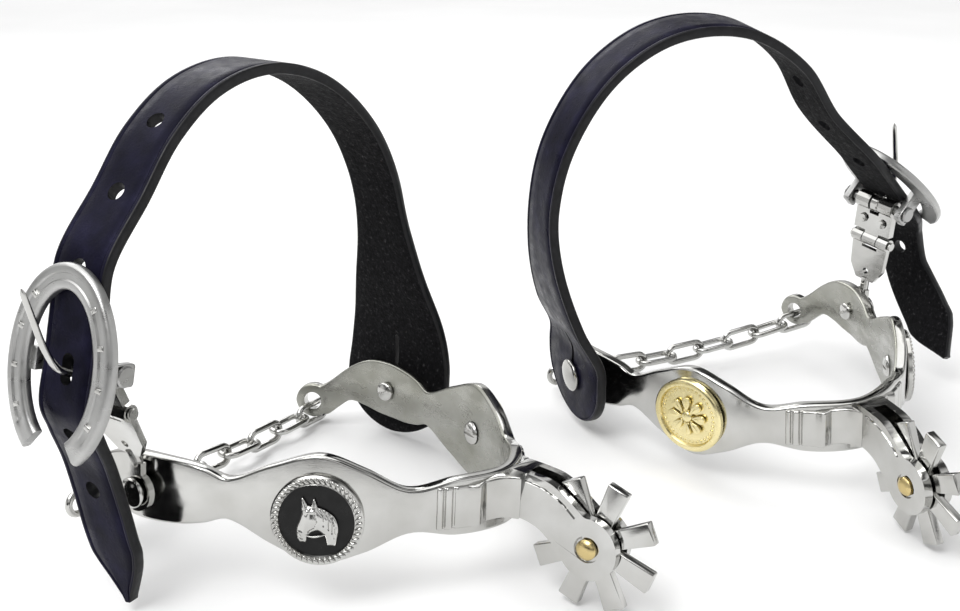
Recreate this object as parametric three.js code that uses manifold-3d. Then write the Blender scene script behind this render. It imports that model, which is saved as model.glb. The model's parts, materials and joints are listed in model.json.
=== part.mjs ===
// A pair of western riding spurs with leather straps, horseshoe buckles and heel chains.
// Units are millimetres, +Z is up and +Y is where the toes of the boots point.
import * as THREE from 'three';
import { mergeVertices } from 'three/addons/utils/BufferGeometryUtils.js';
import Module from 'manifold-3d';

const wasm = await Module();
wasm.setup();

// ---------------------------------------------------------------- driving dimensions
const GAP = 0.3; // clearance between neighbouring pieces
const THROUGH = 8; // half length of a drill that passes right through a piece

// Heel band. Plan is one half of its centreline (x, y) from the back of the heel to the tip.
const BAND = {
  thickness: 3.2,
  step: 3.4,
  plan: [[0, 0], [20.9, 11.5], [32.3, 27.3], [39.7, 47], [43.6, 57], [45.8, 64], [46.6, 70.4],
    [46.6, 77], [45.4, 84], [43.2, 90.2], [40.8, 96.2]],
  // Upper and lower edges: distance along the arm, height.
  top: [[0, 6.8], [14, 6.7], [24.9, 5.2], [34.7, 9.7], [44.5, 12.7], [55.3, 9.3], [65.5, 4.9],
    [71, 6.6], [77, 7.7], [87, 8.3], [94, 7.2], [100, 3.9], [107, -1.6], [118, -7]],
  bottom: [[0, -6.8], [14, -6.7], [24.9, -5.2], [34.7, -9.7], [44.5, -12.7], [55.3, -9.3],
    [65.5, -4.9], [71, -6.4], [77, -7.4], [87, -7.5], [93.5, -6.3], [99, -5.8], [103, -8.6],
    [107, -11.2], [118, -7]],
};
const LOBE_AT = 44.5; // distance along the arm of the concho
const STUD_AT = 85.2; // distance along the arm of the strap studs
const EYE = { at: 110.8, z: -7.2, radius: 5.1, hole: 2.6 }; // chain eye at the tip of each arm
const COLLAR = { from: 4.2, to: 19, height: 0.8, run: 2 };

const SHANK = { width: 8, front: -1.9, slotWidth: 3.6, slotFront: -7.6, end: 7.2 };
const ROWEL = { y: -23.7, z: -6, radius: 15.2, thickness: 2.4, spokes: 8, bore: 1.9 };
const PIN = { radius: 1.5, head: 2.4, recess: 3.1, recessDepth: 0.6 };

// The conchos sit a little below the middle of their lobes.
const CONCHO = {
  radius: 10.4, thickness: 2, rim: 1.9, field: 0.9, screw: 1.3, outerHeight: -1.7, innerHeight: -0.5,
};
const STUD = { neck: 1.9, button: 4.8, hangerHead: 3.5, rivet: 2.7 };

const STRAP = { width: 15.4, thickness: 2.6, teardrop: 17.2, taper: 60, holes: 2.1, steps: 60 };
const BUCKLE = { radius: 12.6, stretch: 1.5, width: 5.6, thickness: 2.4, back: 6, leather: 4.2 };
const BAR = 1.3;
const HANGER = {
  length: 29, upper: 12, width: 13, plate: 1.6, eye: 4.6, eyeHole: 2.5, stem: 7, play: 0.6,
};
const RIVET = { radius: 0.9, x: 3.4, y: -5.4 }; // the two that close the folded plate
const HINGE_PIN = 0.8;
const LINK = { wire: 1.8, width: 7.2, count: 9, play: 0.3, inset: 0.9, slack: 1.002, drop: 1.2 };

// ---------------------------------------------------------------- materials
const finish = (color, roughness, metalness) =>
  new THREE.MeshStandardMaterial({ color, roughness, metalness });
const STEEL = finish(0xc9cacb, 0.18, 1);
const SATIN = finish(0xa9aaa8, 0.42, 1);
const GOLD = finish(0xc9b25c, 0.3, 1);
const BRASS = finish(0xc2a04a, 0.32, 1);
const ENAMEL = finish(0x17181a, 0.3, 0.2);
const LEATHER = finish(0x1c1c20, 0.55, 0);

// ---------------------------------------------------------------- geometry helpers
const v3 = (x, y, z) => new THREE.Vector3(x, y, z);

// Faces outwards whatever order its rings were given in.
function faceOutwards(geometry) {
  const p = geometry.attributes.position;
  const index = geometry.index.array;
  let volume = 0;
  const [a, b, c] = [v3(), v3(), v3()];
  for (let i = 0; i < index.length; i += 3) {
    a.fromBufferAttribute(p, index[i]);
    b.fromBufferAttribute(p, index[i + 1]);
    c.fromBufferAttribute(p, index[i + 2]);
    volume += a.dot(b.cross(c));
  }
  if (volume < 0) {
    for (let i = 0; i < index.length; i += 3) {
      [index[i + 1], index[i + 2]] = [index[i + 2], index[i + 1]];
    }
  }
  return geometry;
}

// A closed solid through rings of points; a loop joins its last ring to its first.
function skin(rings, loop = false) {
  const count = rings[0].length;
  const points = rings.flat();
  const index = [];
  const spans = loop ? rings.length : rings.length - 1;
  for (let r = 0; r < spans; r += 1) {
    const next = (r + 1) % rings.length;
    for (let k = 0; k < count; k += 1) {
      const l = (k + 1) % count;
      index.push(r * count + k, r * count + l, next * count + l);
      index.push(r * count + k, next * count + l, next * count + k);
    }
  }
  if (!loop) {
    for (const end of [0, rings.length - 1]) {
      const centre = rings[end].reduce((sum, q) => sum.add(q), v3(0, 0, 0));
      points.push(centre.divideScalar(count));
      for (let k = 0; k < count; k += 1) {
        const pair = [end * count + k, end * count + ((k + 1) % count)];
        if (end === 0) pair.reverse();
        index.push(pair[0], pair[1], points.length - 1);
      }
    }
  }
  const geometry = new THREE.BufferGeometry().setFromPoints(points);
  geometry.setIndex(index);
  return faceOutwards(geometry);
}

// Cubic curve through a table of [position, value] rows.
function along(table, d) {
  const last = table.length - 1;
  let i = 0;
  while (i < last - 1 && d > table[i + 1][0]) i += 1;
  const slope = (k) => {
    const [from, to] = [table[Math.max(k - 1, 0)], table[Math.min(k + 1, last)]];
    return (to[1] - from[1]) / (to[0] - from[0]);
  };
  const width = table[i + 1][0] - table[i][0];
  const t = THREE.MathUtils.clamp((d - table[i][0]) / width, 0, 1);
  return table[i][1] * (1 + 2 * t) * (1 - t) ** 2 + table[i + 1][1] * t * t * (3 - 2 * t)
    + width * (slope(i) * t * (1 - t) ** 2 - slope(i + 1) * t * t * (1 - t));
}

// Corners of a bar section, half width a by half height b.
const section = (a, b) => [[a, b], [-a, b], [-a, -b], [a, -b]];

const cleaned = (geometry) => {
  const bare = geometry.index ? geometry.clone() : geometry;
  bare.deleteAttribute('normal');
  bare.deleteAttribute('uv');
  return mergeVertices(bare, 1e-4);
};

function toSolid(geometry) {
  const bare = cleaned(geometry);
  return new wasm.Manifold(new wasm.Mesh({
    numProp: 3,
    vertProperties: new Float32Array(bare.attributes.position.array),
    triVerts: new Uint32Array(bare.index.array),
  }));
}

function fromSolid(solid) {
  const mesh = solid.getMesh();
  const geometry = new THREE.BufferGeometry();
  geometry.setAttribute('position', new THREE.Float32BufferAttribute(mesh.vertProperties, 3));
  geometry.setIndex(Array.from(mesh.triVerts));
  return geometry;
}

const carve = (body, ...cuts) =>
  fromSolid(cuts.reduce((left, cut) => left.subtract(toSolid(cut)), toSolid(body)));
const weld = (body, ...others) =>
  fromSolid(others.reduce((sum, other) => sum.add(toSolid(other)), toSolid(body)));

// A round piece about local Z from [radius, z] rows that start and end on the axis.
const turned = (profile, sides = 14) => {
  const lathe = new THREE.LatheGeometry(profile.map(([r, z]) => new THREE.Vector2(r, z)), sides);
  return faceOutwards(cleaned(lathe.rotateX(Math.PI / 2)));
};
const rod = (radius, from, to, sides = 12) =>
  turned([[0, from], [radius, from], [radius, to], [0, to]], sides);
const crossRod = (radius, half, sides) => rod(radius, -half, half, sides).rotateY(Math.PI / 2);
const slab = (x, y, z) => new THREE.BoxGeometry(x, y, z);
const plate = (shape, depth, curveSegments = 4) => {
  const options = { depth, bevelEnabled: false, curveSegments };
  return new THREE.ExtrudeGeometry(shape, options).translate(0, 0, -depth / 2);
};
const flatPoints = (list) => list.map(([x, y]) => new THREE.Vector2(x, y));
const radians = THREE.MathUtils.degToRad;

// Points round a slot with round ends; without a length it is a circle.
function slotPoints(x, y, radius, length = 0, sides = 10) {
  return Array.from({ length: sides }, (_, k) => {
    const a = (2 * Math.PI * (k + 0.5)) / sides;
    const shift = Math.cos(a) > 0 ? length / 2 : -length / 2;
    return new THREE.Vector2(x + shift + radius * Math.cos(a), y + radius * Math.sin(a));
  });
}

// A frame whose local X, Y and Z point along the given directions.
const frameOf = (x, y, z, origin) =>
  new THREE.Matrix4().makeBasis(x, y, z).setPosition(origin);

function add(group, name, geometry, material, matrix) {
  const mesh = new THREE.Mesh(geometry, material);
  mesh.name = name;
  if (matrix) mesh.applyMatrix4(matrix);
  group.add(mesh);
  return mesh;
}

// ---------------------------------------------------------------- heel band
const halfPlan = BAND.plan.map(([x, y]) => v3(x, y, 0));
const bandLine = new THREE.CatmullRomCurve3(
  [...halfPlan.slice(1).reverse().map((p) => v3(-p.x, p.y, 0)), ...halfPlan], false, 'centripetal');
bandLine.arcLengthDivisions = 800;
const armLength = bandLine.getLength() / 2;

// Point and outward direction on the centreline; d is negative on the -X arm.
function onBand(d) {
  const u = THREE.MathUtils.clamp(0.5 + d / (2 * armLength), 0, 1);
  const tangent = bandLine.getTangentAt(u);
  return { point: bandLine.getPointAt(u), out: v3(tangent.y, -tangent.x, 0) };
}

// The arms' outer faces are furthest apart here.
const widestX = BAND.thickness / 2
  + Math.max(...Array.from({ length: 60 }, (_, i) => onBand((armLength * i) / 59).point.x));

// Seat for a round fitting: local Z points outwards, local Y points up.
function seat(side, distance, height, outwards) {
  const { point, out } = onBand(side * distance);
  const up = v3(0, 0, 1);
  return frameOf(up.clone().cross(out), up, out, point.addScaledVector(out, outwards).setZ(height));
}

// Seat for a strap stud, on the line that both studs share: local Z points outwards along X.
function studSeat(side) {
  const [out, up] = [v3(side, 0, 0), v3(0, 0, 1)];
  return frameOf(up.clone().cross(out), up, out, onBand(side * STUD_AT).point);
}

// Raised collar each side of the shank.
function collarAt(d) {
  const { from, to, height, run } = COLLAR;
  const rise = THREE.MathUtils.smoothstep(d, from, from + run);
  const fall = THREE.MathUtils.smoothstep(d, to - run, to);
  return height * rise * (1 - fall);
}

const conchoHeight = (isOuter) => (isOuter ? CONCHO.outerHeight : CONCHO.innerHeight);

function bandGeometry(outerSide) {
  const end = EYE.at + EYE.radius - 0.05;
  const count = 2 * Math.round(end / BAND.step);
  const rings = [];
  for (let i = 0; i <= count; i += 1) {
    const d = -end + (2 * end * i) / count;
    const reach = Math.abs(d);
    const round = Math.sqrt(Math.max(EYE.radius ** 2 - (reach - EYE.at) ** 2, 0));
    const pastEye = reach > EYE.at;
    const nearEye = round > 0;
    let top = along(BAND.top, reach);
    let bottom = along(BAND.bottom, reach);
    if (nearEye) top = pastEye ? EYE.z + round : Math.max(top, EYE.z + round);
    if (nearEye) bottom = pastEye ? EYE.z - round : Math.min(bottom, EYE.z - round);
    const { point, out } = onBand(d);
    const bump = collarAt(reach);
    rings.push(section(BAND.thickness / 2, (top - bottom) / 2).map(([a, b]) =>
      point.clone().addScaledVector(out, a > 0 ? a + bump : a).setZ(b + (top + bottom) / 2)));
  }
  const drill = (radius, place) => rod(radius, -THROUGH, THROUGH).applyMatrix4(place);
  return carve(skin(rings), ...[-1, 1].flatMap((side) => [
    drill(CONCHO.screw + GAP, seat(side, LOBE_AT, conchoHeight(side === outerSide), 0)),
    drill(STUD.neck + GAP, studSeat(side)),
    drill(EYE.hole, seat(side, EYE.at, EYE.z, 0)),
  ]));
}

// ---------------------------------------------------------------- shank and rowel
function shankGeometry() {
  const side = new THREE.Shape();
  side.moveTo(SHANK.front, -5.4);
  side.lineTo(SHANK.front, 7);
  side.quadraticCurveTo(-2.6, 8.2, -4.6, 8.2);
  side.splineThru(flatPoints([[-9, 7.8], [-14, 6.9], [-18.6, 4.2], [-22.2, 1.5]]));
  side.absarc(ROWEL.y, ROWEL.z, SHANK.end, 1.35, 2.9 + Math.PI, false);
  side.splineThru(flatPoints([[-14.6, -6.6], [-11.6, -4.4], [-8, -3.2], [-5.4, -3.1], [-3.6, -4.4]]));
  const cheeks = plate(side, SHANK.width, 5);
  const slotLength = SHANK.slotFront - ROWEL.y + 2 * SHANK.end;
  const slot = slab(slotLength, 60, SHANK.slotWidth);
  slot.translate(SHANK.slotFront - slotLength / 2, 0, 0);
  const bore = rod(PIN.radius + GAP, -THROUGH, THROUGH).translate(ROWEL.y, ROWEL.z, 0);
  const inset = SHANK.width / 2 - PIN.recessDepth;
  const recesses = [[inset, THROUGH], [-THROUGH, -inset]].map(([from, to]) =>
    rod(PIN.recess, from, to).translate(ROWEL.y, ROWEL.z, 0));
  // The outline is drawn in the Y-Z plane and its width runs along X.
  return carve(cheeks, slot, bore, ...recesses);
}

const sideways = frameOf(v3(0, 1, 0), v3(0, 0, 1), v3(1, 0, 0), v3(0, 0, 0));

function rowelGeometry() {
  const star = new THREE.Shape();
  const pitch = (2 * Math.PI) / ROWEL.spokes;
  const [rootHalf, tipHalf] = [2.1, 2.6];
  for (let k = 0; k < ROWEL.spokes; k += 1) {
    const [cos, sin] = [Math.cos(k * pitch), Math.sin(k * pitch)];
    const spoke = (reach, across) => [reach * cos - across * sin, reach * sin + across * cos];
    const root = rootHalf / Math.tan(pitch / 2);
    if (k === 0) star.moveTo(...spoke(root, -rootHalf));
    else star.lineTo(...spoke(root, -rootHalf));
    star.lineTo(...spoke(ROWEL.radius, -tipHalf));
    star.lineTo(...spoke(ROWEL.radius, tipHalf));
  }
  star.holes.push(new THREE.Path(slotPoints(0, 0, ROWEL.bore, 0, 14)));
  star.holes.push(new THREE.Path(slotPoints(ROWEL.radius * 0.78, 0, 0.9)));
  return plate(star, ROWEL.thickness);
}

function pinGeometry() {
  const under = SHANK.width / 2 - PIN.recessDepth + GAP;
  const crown = under + 1.5;
  const profile = [[0, -crown], [1.3, -crown + 0.1], [PIN.head, -under - 0.7], [PIN.head, -under],
    [PIN.radius, -under], [PIN.radius, under], [PIN.head, under], [PIN.head, under + 0.7],
    [1.3, crown - 0.1], [0, crown]];
  return turned(profile);
}

// ---------------------------------------------------------------- conchos and studs
function conchoGeometry() {
  const { radius, thickness, rim, field, screw } = CONCHO;
  const floor = thickness - field;
  return turned([[0, 1], [screw + GAP, 1], [screw + GAP, 0], [radius, 0], [radius, thickness - 0.5],
    [radius - 0.5, thickness], [radius - rim, thickness], [radius - rim, floor], [0, floor]], 20);
}

// Horse's head in profile, looking towards local -X, ears up.
function horseEmblem() {
  const head = new THREE.Shape();
  head.moveTo(-3.5, -4.7);
  head.lineTo(-3.9, -3.4);
  head.quadraticCurveTo(-4.5, -1.6, -3.3, 0.4);
  head.lineTo(-2.9, 2.2);
  head.lineTo(-3, 5);
  head.lineTo(-1.9, 3.2);
  head.lineTo(-1.1, 3.1);
  head.lineTo(-0.6, 4.9);
  head.lineTo(0.2, 2.9);
  head.quadraticCurveTo(3.4, 2.2, 4.4, -0.6);
  head.quadraticCurveTo(4.9, -2.6, 4, -5);
  head.lineTo(2.2, -5);
  head.quadraticCurveTo(2, -2.2, 0.4, -2);
  head.quadraticCurveTo(-1.3, -2.1, -1.8, -3.2);
  head.lineTo(-2.1, -4.6);
  head.lineTo(-3.5, -4.7);
  return plate(head, 0.8);
}

// Eight-petalled flower.
function flowerEmblem() {
  const petals = 8;
  const outline = [];
  const steps = 32;
  for (let i = 0; i < steps; i += 1) {
    const angle = (2 * Math.PI * i) / steps;
    const radius = 3.4 + 2.4 * Math.abs(Math.cos((petals * angle) / 2));
    outline.push(new THREE.Vector2(radius * Math.cos(angle), radius * Math.sin(angle)));
  }
  return plate(new THREE.Shape(outline), 0.8);
}

// Screw from the inner face of the band into the back of the concho.
function screwGeometry() {
  const inner = -BAND.thickness / 2 - GAP;
  const reach = BAND.thickness / 2 + GAP + 0.6;
  return turned([[0, inner - 1.1], [2.2, inner - 1.1], [3.1, inner - 0.5], [3.1, inner],
    [CONCHO.screw, inner], [CONCHO.screw, reach], [0, reach]], 12);
}

// Stud riveted through the band, with a round head outside the piece that it holds.
function studGeometry(held, head) {
  const inner = -BAND.thickness / 2 - 2.5 * GAP;
  const under = BAND.thickness / 2 + held;
  return turned([[0, inner - 1.2], [STUD.rivet, inner - 0.3], [STUD.rivet, inner], [STUD.neck, inner],
    [STUD.neck, under], [head, under], [head, under + 0.7], [head * 0.7, under + 1.4], [0, under + 1.7]]);
}

// ---------------------------------------------------------------- strap
// Distance along a curve to its point nearest the target.
function lengthTo(line, target) {
  const samples = 900;
  const gaps = line.getSpacedPoints(samples).map((point) => point.distanceTo(target));
  return (gaps.indexOf(Math.min(...gaps)) / samples) * line.getLength();
}

// Half width of the strap: a teardrop round the stud, a plain run and a pointed tail.
function strapWidth(studAt, total) {
  const half = STRAP.width / 2;
  return (s) => {
    const fromStud = s - studAt;
    const toTip = total - s;
    const round = Math.sqrt(Math.max(1 - ((fromStud - 2) / (studAt + 2.02)) ** 2, 0.0004));
    if (fromStud < 2) return STRAP.teardrop * round;
    const spread = 1 - THREE.MathUtils.smoothstep(fromStud, 2, STRAP.taper);
    const neck = half + (STRAP.teardrop - half) * spread;
    return Math.min(neck, 0.7 + toTip * 0.62 - Math.max(toTip - 9, 0) * 0.2);
  };
}

// Ribbon along a curve; the width turns from the loop's own plane to the buckle bar's direction.
function strapGeometry(line, widthAt, acrossAt, holes) {
  const rings = [];
  for (let i = 0; i <= STRAP.steps; i += 1) {
    const u = i / STRAP.steps;
    const { point, across, outwards } = onStrap(line, u, acrossAt);
    rings.push(section(widthAt(u * line.getLength()), STRAP.thickness / 2).map(([a, b]) =>
      point.clone().addScaledVector(across, a).addScaledVector(outwards, b)));
  }
  const punch = ({ at, radius, length = 0 }) => {
    const { point, tangent, across, outwards } = onStrap(line, at / line.getLength(), acrossAt);
    const place = frameOf(tangent, across, outwards, point);
    return plate(new THREE.Shape(slotPoints(0, 0, radius, length)), 9).applyMatrix4(place);
  };
  return carve(skin(rings), ...holes.map(punch));
}

function onStrap(line, u, acrossAt) {
  const tangent = line.getTangentAt(u);
  const across = acrossAt(u * line.getLength());
  across.addScaledVector(tangent, -across.dot(tangent)).normalize();
  return { point: line.getPointAt(u), tangent, across, outwards: tangent.clone().cross(across) };
}

// ---------------------------------------------------------------- buckle and hanger
// Local axes at the bar: X along the bar, Y up the strap, Z outwards.
function buckleFrameGeometry() {
  const { radius, stretch, width, thickness, back } = BUCKLE;
  const sweep = THREE.MathUtils.degToRad(151);
  const rings = [];
  const steps = 24;
  for (let i = 0; i <= steps; i += 1) {
    const a = -sweep + (2 * sweep * i) / steps;
    const normal = v3(Math.sin(a) * stretch, Math.cos(a), 0).normalize();
    const point = v3(radius * Math.sin(a), radius * stretch * Math.cos(a), back + thickness / 2);
    rings.push(section(width / 2, thickness / 2).map(([p, q]) =>
      point.clone().addScaledVector(normal, p).add(v3(0, 0, q))));
  }
  const [lugAt, lugLow] = [9.5, -2.6];
  const lugs = [-1, 1].map((side) =>
    slab(2, 5, back + 0.6 - lugLow).translate(side * lugAt, 0, (back + 0.6 + lugLow) / 2));
  return carve(weld(skin(rings), ...lugs), crossRod(BAR + GAP, 20));
}

const barGeometry = () => {
  const half = 11.4;
  return turned([[0, -half], [2, -half], [2.3, -half + 0.6], [BAR, -half + 0.6], [BAR, half - 0.6],
    [2.3, half - 0.6], [2, half], [0, half]], 12).rotateY(Math.PI / 2);
};

// Tongue of bent wire, drawn closed on the frame; its eye turns on the bar.
function tongueGeometry() {
  const eye = carve(crossRod(2.5, 1.3), crossRod(BAR + GAP, 3));
  const line = new THREE.CatmullRomCurve3([
    [-0.2, 2.1], [0.7, 4.4], [3.6, 7.2], [9, 8.7], [16, 9.2], [23.5, 9.6],
  ].map(([y, z]) => v3(0, y, z)));
  const rings = [];
  const steps = 9;
  for (let i = 0; i <= steps; i += 1) {
    const u = i / steps;
    const tangent = line.getTangentAt(u);
    const radius = 1.1 - 0.45 * u;
    const up = v3(1, 0, 0).cross(tangent);
    rings.push(Array.from({ length: 8 }, (_, k) => {
      const a = (2 * Math.PI * k) / 8;
      const point = line.getPointAt(u).addScaledVector(up, radius * Math.sin(a));
      return point.add(v3(radius * Math.cos(a), 0, 0));
    }));
  }
  return weld(eye, skin(rings));
}

// Plate folded round the bar and riveted to itself, with a knuckle at its lower end.
function hangerUpperGeometry() {
  const { upper, width } = HANGER;
  const fold = crossRod(BAR + GAP + 1, width / 2);
  const leaves = slab(width, upper - 3.4, 2.2).translate(0, -(upper - 3.4) / 2 - 0.6, 0);
  const knuckle = crossRod(2, 2.5).translate(0, -upper, 0);
  const web = slab(5, 3.6, 1.6).translate(0, -upper + 2.2, 0);
  const body = weld(fold, leaves, knuckle, web);
  const rivetHoles = [-1, 1].map((side) =>
    rod(RIVET.radius + GAP, -4, 4, 8).translate(side * RIVET.x, RIVET.y, 0));
  return carve(body, crossRod(BAR + GAP, width), slab(3.4, 8, 8).translate(0, 0.6, 0),
    crossRod(HINGE_PIN + GAP, width).translate(0, -upper, 0), ...rivetHoles);
}

function rivetGeometry(side) {
  const face = 1.1 + GAP;
  const body = turned([[0, -face - 0.6], [1.2, -face - 0.5], [1.5, -face], [RIVET.radius, -face],
    [RIVET.radius, face], [1.5, face], [1.2, face + 0.5], [0, face + 0.6]], 8);
  return body.translate(side * RIVET.x, RIVET.y, 0);
}

// Lower plate: two knuckles, a tapered leaf, a round neck and the eye that turns on the stud.
// It is drawn from the knuckle down; eyeFrame places the eye square to its stud.
function hangerLowerGeometry(eyeFrame) {
  const { width, upper, length, plate: thick, eye, eyeHole, stem } = HANGER;
  const half = width / 2;
  const notch = 2.8;
  const knuckles = [-1, 1].map((side) =>
    crossRod(2, (half - notch) / 2).translate((side * (half + notch)) / 2, 0, 0));
  const leaf = new THREE.Shape();
  leaf.moveTo(-half, -0.6);
  leaf.lineTo(-notch, -0.6);
  leaf.lineTo(-notch, -3);
  leaf.lineTo(notch, -3);
  leaf.lineTo(notch, -0.6);
  leaf.lineTo(half, -0.6);
  leaf.lineTo(half - 0.6, -9.5);
  leaf.lineTo(3.2, -13.6);
  leaf.lineTo(-3.2, -13.6);
  leaf.lineTo(-half + 0.6, -9.5);
  leaf.holes.push(new THREE.Path(slotPoints(0, -10.6, 1)));
  const neck = rod(1.3, 12.8, length - upper + 0.8).rotateX(Math.PI / 2);
  const ring = rod(eye, -thick / 2, thick / 2, 20).applyMatrix4(eyeFrame);
  const stalk = slab(3.6, stem - 2, thick).translate(0, stem / 2 + 1, 0).applyMatrix4(eyeFrame);
  const hole = rod(eyeHole, -THROUGH, THROUGH, 14).applyMatrix4(eyeFrame);
  return carve(weld(plate(leaf, thick), ...knuckles, neck, ring, stalk), hole,
    crossRod(HINGE_PIN + GAP, width));
}

const hingePinGeometry = () => {
  const under = HANGER.width / 2 + GAP;
  const end = under + 0.6;
  return turned([[0, -end], [1.3, -end], [1.3, -under], [HINGE_PIN, -under], [HINGE_PIN, under],
    [1.3, under], [1.3, end], [0, end]], 10).rotateY(Math.PI / 2);
};

// ---------------------------------------------------------------- chain
// Oval link in its local X-Z plane, long axis along X.
function linkGeometry(inner) {
  const bend = (LINK.width - LINK.wire) / 2;
  const straight = (inner + LINK.wire) / 2 - bend;
  const rings = [];
  const arc = 4;
  for (const end of [1, -1]) {
    for (let i = 0; i <= arc; i += 1) {
      const a = -Math.PI / 2 + (Math.PI * i) / arc;
      const out = v3(end * Math.cos(a), 0, end * Math.sin(a));
      const centre = v3(end * straight, 0, 0).addScaledVector(out, bend);
      rings.push(Array.from({ length: 6 }, (_, k) => {
        const b = (2 * Math.PI * k) / 6;
        return centre.clone().addScaledVector(out, (LINK.wire / 2) * Math.cos(b))
          .add(v3(0, (LINK.wire / 2) * Math.sin(b), 0));
      }));
    }
  }
  return skin(rings, true);
}

// The end links sit through the eyes; the links between hang on an arc, each turned a quarter
// from the last.
function addChain(group, prefix) {
  const eye = onBand(EYE.at).point;
  const endX = eye.x - LINK.inset;
  const endZ = EYE.z - LINK.drop - (LINK.width - LINK.wire) / 2;
  const inner = (2 * endX * LINK.slack) / (LINK.count - 1) + LINK.play;
  const half = (inner + LINK.wire) / 2;
  const touch = LINK.wire + LINK.play;
  const heading = (angle) => v3(Math.cos(angle), 0, Math.sin(angle));
  const last = (LINK.count - 1) / 2;
  const angleOf = (k, bend) => bend * (k < last ? k : last / 2);
  const centres = (bend) => {
    const list = [v3(0, eye.y, 0)];
    for (let k = 1; k <= last; k += 1) {
      const [before, here] = [angleOf(k - 1, bend), angleOf(k, bend)];
      list.push(list[k - 1].clone().addScaledVector(heading(before), half)
        .addScaledVector(heading(here), half)
        .addScaledVector(heading((before + here) / 2), -touch));
    }
    return list;
  };
  // The bend from link to link grows until the chain's end reaches the eye.
  let bend = 0;
  while (centres(bend)[last].x > endX) {
    bend += 0.0002;
  }
  const list = centres(bend);
  const lift = endZ - list[last].z;
  for (let i = 0; i < LINK.count; i += 1) {
    const k = Math.abs(i - last);
    const side = Math.sign(i - last) || 1;
    const mesh = add(group, `${prefix}_chain_link_${i + 1}`, linkGeometry(inner), STEEL);
    mesh.position.set(side * list[k].x, eye.y, list[k].z + lift);
    mesh.rotation.set(i % 2 ? Math.PI / 2 : 0, -side * angleOf(k, bend), 0, 'YXZ');
  }
}

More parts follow.
